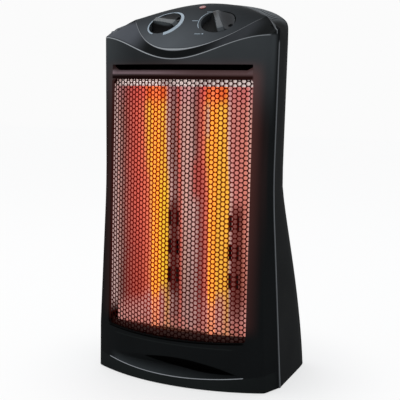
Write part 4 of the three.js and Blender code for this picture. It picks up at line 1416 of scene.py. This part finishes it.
@dataclass(frozen=True)
class Housing:
    """Front and rear mouldings, lofted finely from the same laws as the frame."""

    form: Form = FORM
    bow_steps: int = 44
    corner_steps: int = 6
    rear_steps: int = 40
    rear_lead: int = 12
    stations: int = 60
    roll_steps: int = 20
    back_steps: int = 12
    sill_steps: int = 40
    hole_sides: int = 48
    foot_levels: Point = (20.0, 40.0, 60.0)
    low_levels: int = 10
    high_levels: int = 8
    side_shares: Point = (0.25, 0.5, 0.75)
    bead_shares: tuple[Pair, ...] = ((0.8, 1.0), (1.0, 0.6), (1.0, 0.0))
    crease_share: float = 0.7
    valley_share: float = 0.25
    window_round: float = 6.0
    jamb_wall: float = 2.2
    jamb_depth: float = 8.0
    slot_half: float = 120.0
    slot_taper: float = 10.0
    slot_low: float = 474.0
    slot_sill: float = 480.0
    slot_high: float = 488.5
    slot_lip: float = 7.0
    scoop_high: float = 46.0
    scoop_depth: float = 14.0
    scoop_middle: float = 0.42
    scoop_end: float = 0.04
    edge_round: float = 2.6
    well_radius: float = 27.0
    well_depth: float = 11.0
    well_rim: float = 2.45
    shaft_hole: float = 3.3
    lamp_at: Pair = (5.0, 24.0)
    lamp_hole: float = 4.3
    grip: Point = (52.0, 66.0, 462.0)
    grip_high: float = 492.0
    grip_back: float = 110.0
    louvres: int = 8
    louvre_pitch: float = 12.0
    louvre_height: float = 5.0
    louvre_middle: float = 200.0
    louvre_span: Pair = (3.0, 56.0)
    louvre_y: Pair = (90.0, 168.0)
    blade_reach: float = 5.0
    blade_root: float = 1.2
    blade_lip: float = 0.2
    blade_thickness: float = 1.0
    ribs: int = 12
    rib_first: float = 74.0
    rib_pitch: float = 4.4
    rib_half: float = 0.9
    rib_in: float = 6.0
    rib_back: float = 74.0
    rib_low: float = 522.0
    inlet_at: Pair = (-92.0, 34.0)
    inlet_radius: float = 6.3

    def half_plan(self, z: float, inset: float, proud: float) -> list[Vector]:
        """Half plan at a height, from the front's middle round to the rear's middle.

        Args:
            z: the height.
            inset: how far it is drawn in.
            proud: how far the bead at the seam stands out.

        Returns:
            The points, in the seam's millimetres.
        """
        form = self.form
        seam = form.waisted(z, form.seam_half) - inset
        corner_x = form.waisted(z, form.corner_half) - inset
        turn = max(form.corner_round - inset, form.fit)
        flat = corner_x - turn
        *points, start, corner = (Vector((x, form.front(x, z) + inset)) for x in (
            *(flat * i / self.bow_steps for i in range(self.bow_steps)), flat, corner_x))
        side = Vector((seam, 0.0))
        length = (corner - side).length
        end = corner.lerp(side, turn / length)
        points += arc(start, corner, end, self.corner_steps)
        bead = 1 - (form.bead_width + form.bead_rise) / length
        points += [end.lerp(side, share * bead) for share in self.side_shares]
        points.append(corner.lerp(side, bead))
        points += [Vector((seam + proud * out, -form.bead_width * back)) for out, back in self.bead_shares]
        reach = form.rear(z) - inset
        power = lerp(*form.rear_square, form.flare(z))
        angles = [QUARTER * i / self.rear_steps for i in range(1, self.rear_steps + 1)]
        shares = [math.sin(angle) ** (2 / power) for angle in angles]
        for share in [shares[0] * k / self.rear_lead for k in range(self.rear_lead)] + shares:
            x = seam * max(1 - share**power, 0) ** (1 / power) * (1 - form.rear_taper * share)
            points.append(Vector((x, max(reach * share, form.fit / 3))))
        return points

    def walls(self, inset: float, foot: float) -> Solid:
        """The walls as one closed form, open to any top.

        Args:
            inset: how far it is drawn in.
            foot: its lowest height.

        Returns:
            The solid.
        """
        form = self.form
        levels = [foot] if foot < form.rim else []
        levels += [form.rim, *self.foot_levels, *spread(form.sill, form.waist, self.low_levels)]
        levels += [*spread(form.waist, form.shoulder, self.high_levels)[1:], form.height + form.overrun]
        rings = []
        for z in levels:
            half = self.half_plan(z, inset, 0.0 if inset > 0 else form.bead_rise)
            whole = half + [Vector((-p.x, p.y)) for p in reversed(half[1:-1])]
            rings.append([at(p.x, p.y, z) for p in whole])
        return loft("walls", rings)

    def top_section(self, share: float, depth: float) -> list[Point]:
        """One section of everything below the top.

        Args:
            share: from -1 to 1 across the band, and a little beyond.
            depth: 0 for the skin, or how far under it.

        Returns:
            The section's points, in metres.
        """
        form = self.form
        beyond = math.copysign(max(abs(share) - 1, 0), share)
        x = form.band_half_top * share
        rear_x = form.arch_half * (share - beyond) + form.back_spread * beyond
        held = min(max(x, -form.seam_half[2]), form.seam_half[2])
        crease = form.front(held, form.crease_z(x))
        ridge, band, arch = form.ridge_y(x), form.band_y(x), form.arch_z(rear_x)
        start = lerp(ridge, band, form.bend_share)
        corners = [Vector(corner) for corner in (
            (crease - form.overrun, form.crease_z(x) - form.overrun), (crease, form.crease_z(x)),
            (ridge, form.panel_z(x, ridge)), (start, form.panel_z(x, start)))]
        turn = self.edge_round if depth == 0 else 0.0
        line = rounded(corners, (0, turn * self.crease_share, turn, 0))
        roll = form.band_z(x) - form.panel_z(x, band)
        for k in range(1, self.roll_steps + 1):
            y = lerp(start, band, k / self.roll_steps)
            line.append(Vector((y, form.panel_z(x, y) + roll * (k / self.roll_steps) ** form.roll_power)))
        front_count = len(line)
        line.append(Vector(((band + form.arch_y) / 2, lerp(arch, form.band_z(x), self.valley_share))))
        for k in range(self.back_steps + 1):
            angle = QUARTER * k / self.back_steps
            line.append(Vector((form.arch_y + form.back_round * math.sin(angle),
                                arch - form.back_round * (1 - math.cos(angle)))))
        rear = form.rear_reach[1] + form.overrun
        foremost = crease - form.front_reach[1] - form.overrun
        line += [Vector((rear, form.waist)), Vector((rear, -form.overrun)), Vector((foremost, -form.overrun))]
        across = [x] * front_count + [(x + rear_x) / 2] + [rear_x] * (self.back_steps + 3) + [x]
        tilt = math.atan(form.panel_slope)
        shrink = 1 - depth / form.band_half_top
        back, down = depth * math.sin(tilt), depth * math.cos(tilt)
        return [at(px * shrink, p.x + back, p.y - down if p.y > 0 else p.y) for px, p in zip(across, line)]

    def under_top(self, depth: float) -> Solid:
        """Everything below the top, as a closed loft across the heater.

        Args:
            depth: 0 for the skin, or how far under it.

        Returns:
            The solid.
        """
        form = self.form
        edge = (form.seam_half[0] + form.overrun) / form.band_half_top
        shares = [math.sin(QUARTER * k / self.stations) for k in range(-self.stations, self.stations + 1)]
        return loft("under_top", [self.top_section(s, depth) for s in [-edge, *shares, edge]])

    def before_seam(self, gap: float) -> Solid:
        """Everything in front of the joint between the mouldings.

        Args:
            gap: how far behind the joint it ends.

        Returns:
            The solid.
        """
        form = self.form
        side = form.seam_half[0] + form.overrun
        front = -form.front_reach[1] - form.overrun
        line = [(-side, front), (side, front), (side, gap)]
        for k in range(self.stations, -self.stations - 1, -1):
            x = form.band_half * math.sin(QUARTER * k / self.stations)
            line.append((x, form.band_y(x) + gap))
        line.append((-side, gap))
        levels = (-form.overrun, form.height + form.overrun)
        return loft("before_seam", [[at(x, y, z) for x, y in line] for z in levels])

    def window(self) -> Solid:
        """The window's cutter, with rounded corners and a sagging sill.

        Returns:
            The solid.
        """
        form, turn = self.form, self.window_round
        flat, low, high = form.window_half - turn, form.window_low, form.window_high
        corners = (
            (flat, low + turn, -1), (flat, high - turn, 0), (-flat, high - turn, 1), (-flat, low + turn, 2))
        points = []
        for x, z, first in corners:
            for share in spread(0, 1, self.corner_steps):
                angle = QUARTER * (first + share)
                points.append([x + turn * math.cos(angle), z + turn * math.sin(angle)])
        points += [[x, low] for x in spread(-flat, flat, self.sill_steps)[1:-1]]
        for point in points:
            if point[1] < low + turn:
                point[1] -= form.window_sag * (1 - (point[0] / form.window_half) ** 2)
        front = -form.front_reach[1] - form.overrun
        return loft("window", [[at(x, y, z) for x, z in points] for y in (front, 0.0)])

    def backing(self) -> Solid:
        """The jambs behind the bowed front, round window and slot.

        Returns:
            The solid.
        """
        form, wall = self.form, self.jamb_wall
        half, low, high = form.window_half + wall, form.window_low - wall, self.slot_high + wall
        middle = form.wall / 2
        rings = []
        for x in spread(-half, half, self.stations):
            foot = low - form.window_sag * (1 - (x / half) ** 2)
            section = ((middle, foot), (self.jamb_depth, foot), (self.jamb_depth, high), (middle, high))
            rings.append([at(x, form.front(x, z) + depth, z) for depth, z in section])
        return loft("backing", rings)

    def slot(self) -> Solid:
        """The outlet slot's cutter, with its sloping lip and thinner ends.

        Returns:
            The solid.
        """
        inner = self.slot_half - self.slot_taper
        slope = (self.slot_sill - self.slot_low) / self.slot_lip
        before, lip, behind = -self.jamb_depth, self.slot_lip, self.form.overrun
        rings = []
        for x in [-self.slot_half, *spread(-inner, inner, self.stations), self.slot_half]:
            low = self.slot_sill if abs(x) == self.slot_half else self.slot_low
            y = self.form.front(x, self.slot_low)
            section = ((before, low + before * slope), (lip, low + lip * slope), (behind, low + lip * slope),
                       (behind, self.slot_high), (before, self.slot_high))
            rings.append([at(x, y + py, min(pz, self.slot_high)) for py, pz in section])
        return loft("slot", rings)

    def scoop(self, skin: float) -> Solid:
        """The toe scoop's cutter, or with a skin the wall behind it.

        Args:
            skin: the wall's thickness, or 0.

        Returns:
            The solid.
        """
        form = self.form
        rings = []
        for x in spread(-form.toe_half, form.toe_half, self.stations):
            share = max(1 - (x / form.toe_half) ** 2, self.scoop_end)
            y = form.front(x, self.scoop_high)
            before, inner = y - form.overrun, y + self.scoop_depth * share + skin
            edge = form.toe_end - form.toe_sag * share
            high = lerp(edge, self.scoop_high, math.sqrt(share))
            mid = lerp(edge, high, self.scoop_middle)
            cut = ((before, high), (y, high), (inner, mid + form.fit),
                   (inner, mid - form.fit), (y, edge), (before, edge))
            face = y + skin / 2
            wall = ((face, high + skin), (inner, mid + skin), (inner, mid - skin), (face, edge - skin))
            rings.append([at(x, py, pz) for py, pz in (wall if skin else cut)])
        return loft("scoop", rings)

    def blade(self, low: float, high: float, z: float) -> Solid:
        """A blade hanging inward and down from a louvre's upper edge.

        Args:
            low: its left end.
            high: its right end.
            z: the edge's height.

        Returns:
            The solid.
        """
        reach, root = self.blade_reach, self.blade_root
        lip = self.blade_thickness - reach
        section = ((-reach, -reach), (root, self.blade_lip), (root, root), (-reach, lip))
        plan = [p for p in self.half_plan(z, self.form.wall, 0.0) if p.y > self.form.wall]
        rings = []
        for x in (low, high):
            y = min(plan, key=lambda p: abs(p.x - abs(x))).y
            rings.append([at(x, y + py, z + pz) for py, pz in section])
        return loft("blade", rings)

    def pierce(self, rear: Solid) -> None:
        """Cuts louvres, shoulder slots and the cord inlet into the rear moulding.

        Args:
            rear: the moulding.
        """
        form, height = self.form, self.louvre_height
        near, far = self.louvre_span
        first = self.louvre_middle - (self.louvre_pitch * (self.louvres - 1) + height) / 2
        for k in range(self.louvres):
            z = first + self.louvre_pitch * k
            for low, high in ((-far, -near), (near, far)):
                rear.cut(block("louvre", (low, self.louvre_y[0], z), (high, self.louvre_y[1], z + height)))
                rear.boolean(self.blade(low, high, z + height), "UNION")
        for k in range(self.ribs):
            x = self.rib_first + self.rib_pitch * k
            for middle in (-x, x):
                rear.cut(block("rib", (middle - self.rib_half, form.band_y(x) + self.rib_in, self.rib_low),
                               (middle + self.rib_half, self.rib_back, form.height + form.overrun)))
        inlet_x, inlet_z = self.inlet_at
        place = Matrix.Translation(Vector(at(inlet_x, 0, inlet_z))) @ Matrix.Rotation(-QUARTER, 4, "X")
        rear.cut(rod("inlet", self.inlet_radius, *self.louvre_y, self.hole_sides).moved(place))

    def build(self, finish: bpy.types.Material) -> None:
        """Builds both mouldings.

        Args:
            finish: their material.
        """
        form = self.form
        outer = self.walls(0, form.rim).boolean(self.under_top(0), "INTERSECT")
        cavity = self.walls(form.wall, -form.overrun).boolean(self.under_top(form.wall), "INTERSECT")
        skin = outer.copy().cut(cavity)
        front = skin.copy().boolean(self.before_seam(-form.fit / 2), "INTERSECT")
        front.piece.name = "front_moulding"
        front.boolean(self.backing(), "UNION").boolean(self.scoop(form.wall), "UNION")
        for x in (-form.knob_x, form.knob_x):
            frame = form.console_frame(x, form.knob_y)
            floor = -self.well_depth
            wall = rod("well_wall", self.well_radius + form.wall, floor - form.wall, -self.well_rim)
            front.boolean(wall.moved(frame), "UNION")
            well = rod("well", self.well_radius, floor, form.overrun)
            shaft = rod("shaft_hole", self.shaft_hole, floor - form.overrun, form.overrun)
            front.cut(well.moved(frame), shaft.moved(frame))
        lamp = rod("lamp_hole", self.lamp_hole, -form.overrun, form.overrun)
        lamp.moved(form.console_frame(*self.lamp_at))
        front.cut(lamp, self.window(), self.slot(), self.scoop(0))
        front.smooth().show("housing", finish, "satin_black", "front_shell")
        rear = skin.cut(self.before_seam(form.fit / 2))
        rear.piece.name = "rear_moulding"
        (x, y, low), high, back, wall = self.grip, self.grip_high, self.grip_back, form.wall
        pocket = block("pocket", (-x - wall, y - wall, low - wall), (x + wall, back, high + wall))
        rear.boolean(outer.boolean(pocket, "INTERSECT"), "UNION")
        rear.cut(block("grip", (-x, y, low), (x, back, high)))
        self.pierce(rear)
        rear.smooth().show("housing", finish, "satin_black", "rear_shell")


@dataclass(frozen=True)
class Guard:
    """Fine honeycomb guard in the window."""

    form: Form = FORM
    pitch: float = 7.2
    hole: float = 0.41
    setback: float = 5.9
    thickness: float = 0.8
    half: float = 120.6
    low: float = 77.8
    high: float = 466.6
    steps_to_mm: int = 50

    def place(self, x: float, z: float) -> Point:
        """A point of the bowed sheet, held inside the window.

        Args:
            x: across.
            z: up.

        Returns:
            The point in the scene's metres.
        """
        x = min(max(x, -self.half), self.half)
        foot = self.low - self.form.window_sag * (1 - (x / self.half) ** 2)
        z = min(max(z, foot), self.high)
        return at(x, self.form.front(x, z) + self.setback, z)

    def cells(self) -> list[Pair]:
        """Middles of the cells.

        Returns:
            Places across and up.
        """
        step = self.pitch * math.sqrt(3) / 2
        columns = math.ceil(self.half / step)
        foot = self.low - self.form.window_sag
        middles = []
        for c in range(-columns, columns + 1):
            if abs(c * step) - self.pitch / math.sqrt(3) >= self.half:
                continue
            r = math.floor((foot - self.pitch) / self.pitch)
            while (z := (r + (c % 2) / 2) * self.pitch) < self.high + self.pitch / 2:
                r += 1
                if z >= foot - self.pitch / 2:
                    middles.append((c * step, z))
        return middles

    def build(self, finish: bpy.types.Material) -> None:
        """Builds the guard, where neighbouring cells share their corners.

        Args:
            finish: its material.
        """
        corner, reach = self.pitch / math.sqrt(3), self.hole * self.pitch
        points: list[Point] = []
        faces: list[tuple[int, ...]] = []
        known: dict[tuple[int, int], int] = {}
        for x, z in self.cells():
            rim = []
            for angle in (math.pi * k / 3 for k in range(6)):
                px, pz = x + corner * math.cos(angle), z + corner * math.sin(angle)
                key = (round(px * self.steps_to_mm), round(pz * self.steps_to_mm))
                if key not in known:
                    known[key] = len(points)
                    points.append(self.place(px, pz))
                rim.append(known[key])
            first = len(points)
            for angle in (math.pi * k / 6 for k in range(12)):
                points.append(self.place(x + reach * math.cos(angle), z + reach * math.sin(angle)))
            for k in range(6):
                a, b = rim[k], rim[(k + 1) % 6]
                h0, h1, h2 = (first + (2 * k + i) % 12 for i in range(3))
                faces += [(a, h1, h0), (a, b, h1), (b, h2, h1)]
        sheet = Solid("honeycomb_guard", points, faces)
        sheet.modified("SOLIDIFY", thickness=self.thickness * MM, offset=0.0)
        sheet.show("housing", finish, "grille_black", "grille")


class Side(Enum):
    """Which of a pair, seen from the front."""

    LEFT = -1
    RIGHT = 1


@dataclass(frozen=True)
class Knob:
    """A round knob whose face is hollowed on both sides of a grip bar."""

    name: str
    side: Side
    turn: float
    body: str
    # tones and dark_end carry the knob's painted highlight and shade.
    tones: tuple[Colour, Colour, Colour]
    dark_end: float
    form: Form = FORM
    radius: float = 25.4
    foot: float = -10.7
    foot_round: float = 0.6
    skirt: Pair = (-5.0, -1.2)
    shoulder: float = 3.4
    proud: float = 4.5
    bar_half: float = 3.6
    hollow: Pair = (52.0, 12.6)
    depths: Pair = (14.4, 8.0)
    dimple: Point = (14.3, 16.0, -3.0)
    dimple_size: Point = (3.6, 3.6, 5.0)
    soft_edge: float = 0.55
    bevel_from: float = 38.0
    bore: float = 3.3
    bore_depth: float = 5.2
    bore_overrun: float = 2.0
    rounds: tuple[float, ...] = (0, 1.6, 2.2, 0)
    round_steps: int = 6
    smooth_to: float = 30.0
    sides: int = 120
    ball_steps: int = 40
    bore_sides: int = 48

    def ellipsoid(self, centre: Point, radii: Point) -> Solid:
        """A finely faced ellipsoid about the knob's own frame.

        Args:
            centre: its middle, in millimetres.
            radii: its reach along each axis.

        Returns:
            The solid.
        """
        angles = [math.pi * k / self.ball_steps for k in range(self.ball_steps + 1)]
        ball = turned("hollow", [(max(math.sin(a), 0.0), -math.cos(a)) for a in angles], self.sides)
        return ball.moved(Matrix.Translation(Vector(centre) * MM) @ Matrix.Diagonal((*radii, 1)))

    def build(self) -> None:
        """Builds the knob at its angle in the photograph."""
        form, across = self.form, self.side.value * self.form.knob_x
        name = self.body + "_knob_plastic"
        finish = KnobPlastic(name, across, self.turn, *self.tones, self.dark_end).make()
        rim = [Vector(corner) for corner in (
            (self.radius, self.skirt[0]), (self.radius, self.skirt[1]),
            (self.radius - self.shoulder, self.proud), (0, self.proud))]
        profile = [(0.0, self.foot), (self.radius - self.foot_round, self.foot),
                   (self.radius, self.foot + self.foot_round)]
        profile += [(p.x, p.y) for p in rounded(rim, self.rounds, self.round_steps)]
        solid = turned(self.name, profile, self.sides)
        for way, depth in zip((-1, 1), self.depths):
            centre = (0.0, way * (self.bar_half + self.hollow[1]), self.proud)
            solid.cut(self.ellipsoid(centre, (*self.hollow, depth)))
        solid.cut(self.ellipsoid(self.dimple, self.dimple_size))
        sharp, width = math.radians(self.bevel_from), self.soft_edge * MM
        solid.modified("BEVEL", width=width, segments=3, limit_method="ANGLE", angle_limit=sharp)
        low, high = self.foot - self.bore_overrun, self.foot + self.bore_depth
        solid.cut(rod("bore", self.bore, low, high, self.bore_sides))
        turn = Matrix.Rotation(math.radians(self.turn), 4, "Z")
        solid.moved(form.console_frame(across, form.knob_y) @ turn)
        solid.smooth(self.smooth_to).show(self.body, finish, "knob_black", self.name.replace("_fine", ""))


Rail = tuple[float, float, float, float]


@dataclass(frozen=True)
class ConsoleMarks:
    """Printed marks round the knobs: a ring, an arc, three ticks and a dot. No words."""

    form: Form = FORM
    lift: float = 0.11
    sunk: float = 0.04
    ring_low: float = 27.4
    ring_span: Pair = (-76.0, 242.0)
    ring_width: float = 2.2
    ring_swell: float = 5.4
    swell_at: float = -48.0
    arc_radius: float = 31.3
    arc_span: Pair = (144.0, 220.0)
    arc_half: float = 0.5
    ticks: tuple[Rail, ...] = (
        (-42.6, -4.3, -32.4, -3.4), (-24.0, -34.4, -14.4, -33.4), (-29.0, 21.4, -18.0, 23.0))
    tick_half: float = 0.55
    dot: Pair = (-11.2, -32.6)
    dot_radius: float = 1.3
    dot_share: float = 0.995
    steps: int = 72
    tick_steps: int = 6
    dot_steps: int = 12

    def place(self, side: Side, a: float, b: float, height: float) -> Point:
        """A point over the console, from a place in a knob's own plane.

        Args:
            side: which knob.
            a: across the plane.
            b: up the plane.
            height: over the console.

        Returns:
            The point in the scene's metres.
        """
        frame = self.form.console_frame(side.value * self.form.knob_x, self.form.knob_y)
        point = frame @ Vector((a * MM, b * MM, 0))
        x, y = point.x / MM, point.y / MM - SEAM_SHIFT
        return at(x, y, self.form.console_z(x, y) + height)

    def strip(self, name: str, side: Side, rails: Sequence[Rail], finish: bpy.types.Material) -> None:
        """A thin printed strip between two rails.

        Args:
            name: its name.
            side: which knob it belongs to.
            rails: for each station (a, b) on one rail and (a, b) on the other.
            finish: its material.
        """
        rings = []
        for a0, b0, a1, b1 in rails:
            corners = ((a0, b0, -self.sunk), (a1, b1, -self.sunk), (a1, b1, self.lift), (a0, b0, self.lift))
            rings.append([self.place(side, *corner) for corner in corners])
        loft(name, rings).show("housing", finish, "satin_black")

    def round_strip(self, low: float, high: float, span: Pair, swell: float) -> list[Rail]:
        """Rails of a strip that runs round a knob, wider where the ring swells.

        Args:
            low: the inner rail's radius.
            high: the outer rail's radius.
            span: where it starts and ends, in degrees.
            swell: how much wider it is where it swells most.

        Returns:
            The rails.
        """
        rails = []
        for angle in map(math.radians, spread(*span, self.steps)):
            out = high + swell * max(math.cos((angle - math.radians(self.swell_at)) / 2), 0) ** 4
            across, up = math.cos(angle), math.sin(angle)
            rails.append((low * across, low * up, out * across, out * up))
        return rails

    def build(self, finish: bpy.types.Material) -> None:
        """Prints every mark.

        Args:
            finish: the ink.
        """
        low, arc_low = self.ring_low, self.arc_radius - self.arc_half
        ring = self.round_strip(low, low + self.ring_width, self.ring_span, self.ring_swell)
        self.strip("ring_left", Side.LEFT, ring, finish)
        band = self.round_strip(arc_low, self.arc_radius + self.arc_half, self.arc_span, 0)
        self.strip("arc_right", Side.RIGHT, band, finish)
        for k, (a0, b0, a1, b1) in enumerate(self.ticks):
            half = Vector((b0 - b1, a1 - a0)).normalized() * self.tick_half
            line = zip(spread(a0, a1, self.tick_steps), spread(b0, b1, self.tick_steps))
            rails = [(a - half.x, b - half.y, a + half.x, b + half.y) for a, b in line]
            self.strip(f"tick_{k + 1}", Side.RIGHT, rails, finish)
        rails = []
        for reach in spread(-1, 1, self.dot_steps):
            reach *= self.dot_share
            half = self.dot_radius * math.sqrt(1 - reach * reach)
            a, b = self.dot[0] + self.dot_radius * reach, self.dot[1]
            rails.append((a, b - half, a, b + half))
        self.strip("dot_right", Side.RIGHT, rails, finish)


@dataclass(frozen=True)
class Coil:
    """A finely wound heating coil inside its tube."""

    side: Side
    across: float = 50.0
    depth: float = -24.0
    radius: float = 3.1
    wire: float = 0.45
    turn: float = 2.6
    lead: float = 15.0
    steps: int = 14
    sides: int = 6

    def line(self, low: float, high: float) -> list[Vector]:
        """The wire's middle line, with straight leads.

        Args:
            low: its lower end.
            high: its upper end.

        Returns:
            The points, about the tube's axis.
        """
        foot, head = low + self.lead, high - self.lead
        count = round((head - foot) / self.turn) * self.steps
        points = [Vector((0, 0, low)), Vector((0, 0, foot - 1))]
        for i in range(count + 1):
            angle = TURN * i / self.steps
            share = min(1, (i + 1) / self.steps, (count - i + 1) / self.steps)
            reach = self.radius * math.sin(share * QUARTER)
            height = lerp(foot, head, i / count)
            points.append(Vector((reach * math.cos(angle), reach * math.sin(angle), height)))
        return points + [Vector((0, 0, head + 1)), Vector((0, 0, high))]

    def build(self, finish: bpy.types.Material) -> None:
        """Winds the coil between the ends of its frame node.

        Args:
            finish: the wire's material.
        """
        node = "heating_coil_" + self.side.name.lower()
        low, high = (corner[2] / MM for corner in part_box(node))
        line = self.line(low, high)
        rings = []
        for i, point in enumerate(line):
            along = (line[min(i + 1, len(line) - 1)] - line[max(i - 1, 0)]).normalized()
            side = Vector((0, 1, 0)).cross(along).normalized()
            out = along.cross(side)
            ring = []
            for angle in (TURN * k / self.sides for k in range(self.sides)):
                corner = point + side * (self.wire * math.cos(angle)) + out * (self.wire * math.sin(angle))
                ring.append(at(self.side.value * self.across + corner.x, self.depth + corner.y, corner.z))
            rings.append(ring)
        loft("wound_" + node, rings).show("housing", finish, "element", node)


@dataclass(frozen=True)
class Studio:
    """Camera, soft lights, floor and backdrop."""

    eye: Point = (0.6605, -1.268699, 0.4627)
    right: Point = (0.88553, 0.46448, 0.00961)
    up: Point = (-0.06881, 0.11069, 0.99147)
    forward: Point = (-0.45946, 0.87864, -0.12997)
    lens: float = 81.0
    sensor: float = 36.0
    near_clip: float = 0.01
    aim: Point = (0, 0, 0.3)
    sky: Colour = (0.93, 0.96, 1.0)
    sky_level: float = 0.70
    white: Colour = (0.965, 0.965, 0.965)
    floor_half: float = 6.0
    floor_tone: Colour = (0.9, 0.9, 0.9)
    floor_share: Pair = (0.66, 0.895)
    floor_fade: Pair = (140.0, 340.0)
    lamps: tuple[tuple[str, Point, float, float], ...] = (
        ("overhead", (-0.55, 0.15, 2.2), 1.65, 16.0), ("front_left", (-1.5, -1.6, 1.5), 1.0, 5.0))

    def camera(self) -> None:
        """Sets the camera at the photograph's angle."""
        data = bpy.data.cameras.new("camera")
        data.lens, data.sensor_width, data.clip_start = self.lens, self.sensor, self.near_clip
        camera = placed("camera", data)
        turn = Matrix((self.right, self.up, -Vector(self.forward))).transposed()
        camera.matrix_world = Matrix.Translation(Vector(self.eye)) @ turn.to_4x4()
        bpy.context.scene.camera = camera

    def light(self, name: str, place: Point, size: float, watts: float) -> None:
        """Adds a square area light that points at the object.

        Args:
            name: the light's name.
            place: where it stands.
            size: its width and height.
            watts: its power.
        """
        data = bpy.data.lights.new(name, "AREA")
        data.shape = "RECTANGLE"
        data.size = data.size_y = size
        data.energy = watts
        lamp = placed(name, data)
        lamp.location = place
        lamp.rotation_euler = (Vector(self.aim) - Vector(place)).to_track_quat("-Z", "Y").to_euler()

    def world(self) -> None:
        """Pale surroundings: white where the camera sees them, soft light on the object."""
        world = bpy.data.worlds.new("world")
        bpy.context.scene.world = world
        tree = Tree("world", world)
        tree.feed(tree.shader.inputs[0], self.sky)
        tree.feed(tree.shader.inputs[1], self.sky_level)
        white = tree.node("ShaderNodeBackground", None, {"Color": self.white, "Strength": 1.0})
        tree.mixed(tree.seen(), white)

    def floor(self) -> None:
        """A pale floor that keeps the object's soft shadow."""
        mesh = bpy.data.meshes.new("floor")
        half = self.floor_half
        corners = [(-half, -half, 0), (half, -half, 0), (half, half, 0), (-half, half, 0)]
        mesh.from_pydata(corners, [], [(0, 1, 2, 3)])
        tree = Tree("pale_floor")
        tree.set(Base_Color=self.floor_tone, Roughness=0.9, Specular_IOR_Level=0.1)
        x, y, _ = tree.place()
        near, far = self.floor_share
        share = tree.seen() * (near + (far - near) * ((x * x + y * y) ** 0.5).ease(*self.floor_fade))
        glow = tree.node("ShaderNodeEmission", None, {"Color": (1.0, 1.0, 1.0), "Strength": 1.0})
        tree.mixed(share, glow)
        mesh.materials.append(tree.material)
        floor = placed("floor", mesh)

    def build(self) -> None:
        """Builds all of it."""
        self.camera()
        self.world()
        self.floor()
        for lamp in self.lamps:
            self.light(*lamp)


@dataclass(frozen=True)
class InnerParts:
    """The frame's own pieces inside and under the heater, which only get their materials."""

    nodes: dict

    def build(self) -> None:
        """Dresses each piece."""
        finishes = {
            GlowingReflector(): ("reflector_left", "reflector_right"),
            GlowingQuartz(): ("quartz_tube_left", "quartz_tube_right"),
            LitShadedPlate(): ("end_plate_upper", "end_plate_lower"),
            Ceramic(): ("cap_upper_left", "cap_upper_right", "cap_lower_left", "cap_lower_right"),
            LampLens(): ("pilot_lens",),
            SheetMetal("zinc_plate", (0.55, 0.56, 0.58), 0.34): (
                "base_plate", "fan_motor", "thermostat_shaft", "selector_shaft"),
            # The chassis plate is painted near black, as painted shade behind the reflector vents.
            SatinPlastic("scaled_steel", (0.018, 0.009, 0.008), 0.7, 0.00004, 700.0, 0.2): ("chassis_plate",),
            SatinPlastic("foot_rubber", (0.022, 0.022, 0.022), 0.75, 0.00006, 1400.0): (
                "foot_front_left", "foot_front_right", "foot_rear_left", "foot_rear_right", "cord_gland"),
            SatinPlastic("dark_thermoset", (0.020, 0.020, 0.022), 0.5, specular=0.3): (
                "fan_frame", "fan_impeller", "thermostat_body", "selector_body", "lamp_holder", "tip_switch"),
            SatinPlastic("natural_nylon", (0.70, 0.67, 0.58), 0.42): ("tip_plunger",),
            SheetMetal("cutout_can", (0.60, 0.50, 0.42), 0.28, (1.0, 1.0, 1.0)): ("thermal_cutout",),
        }
        for finish, names in finishes.items():
            material = finish.make()
            for name in names:
                for slot in self.nodes[name].material_slots:
                    slot.material = material
                log.info("%s: dressed with %s", name, finish.name)


def main() -> None:
    """Builds the scene around the frame."""
    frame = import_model()
    bpy.context.scene.view_settings.view_transform = "Standard"
    Studio().build()
    Housing().build(HousingPlastic().make())
    Guard().build(GuardSteel().make())
    # Painted tones of each knob: highlight on the bar, shade in the near hollow, a lighter far hollow.
    left = ((0.085, 0.095, 0.100), (0.0012, 0.0014, 0.0016), (0.022, 0.025, 0.028))
    right = ((0.080, 0.088, 0.095), (0.006, 0.0065, 0.007), (0.040, 0.044, 0.050))
    Knob("thermostat_knob_fine", Side.LEFT, -23, "thermostat", left, -60.0).build()
    Knob("selector_knob_fine", Side.RIGHT, -56, "selector", right, -16.0).build()
    ConsoleMarks().build(SatinPlastic("pale_ink", (0.24, 0.31, 0.37), 0.5).make())
    wire = GlowingWire().make()
    for side in Side:
        Coil(side).build(wire)
    InnerParts(frame["nodes"]).build()


if __name__ == "__main__":
    logging.basicConfig(level=logging.INFO)
    main()
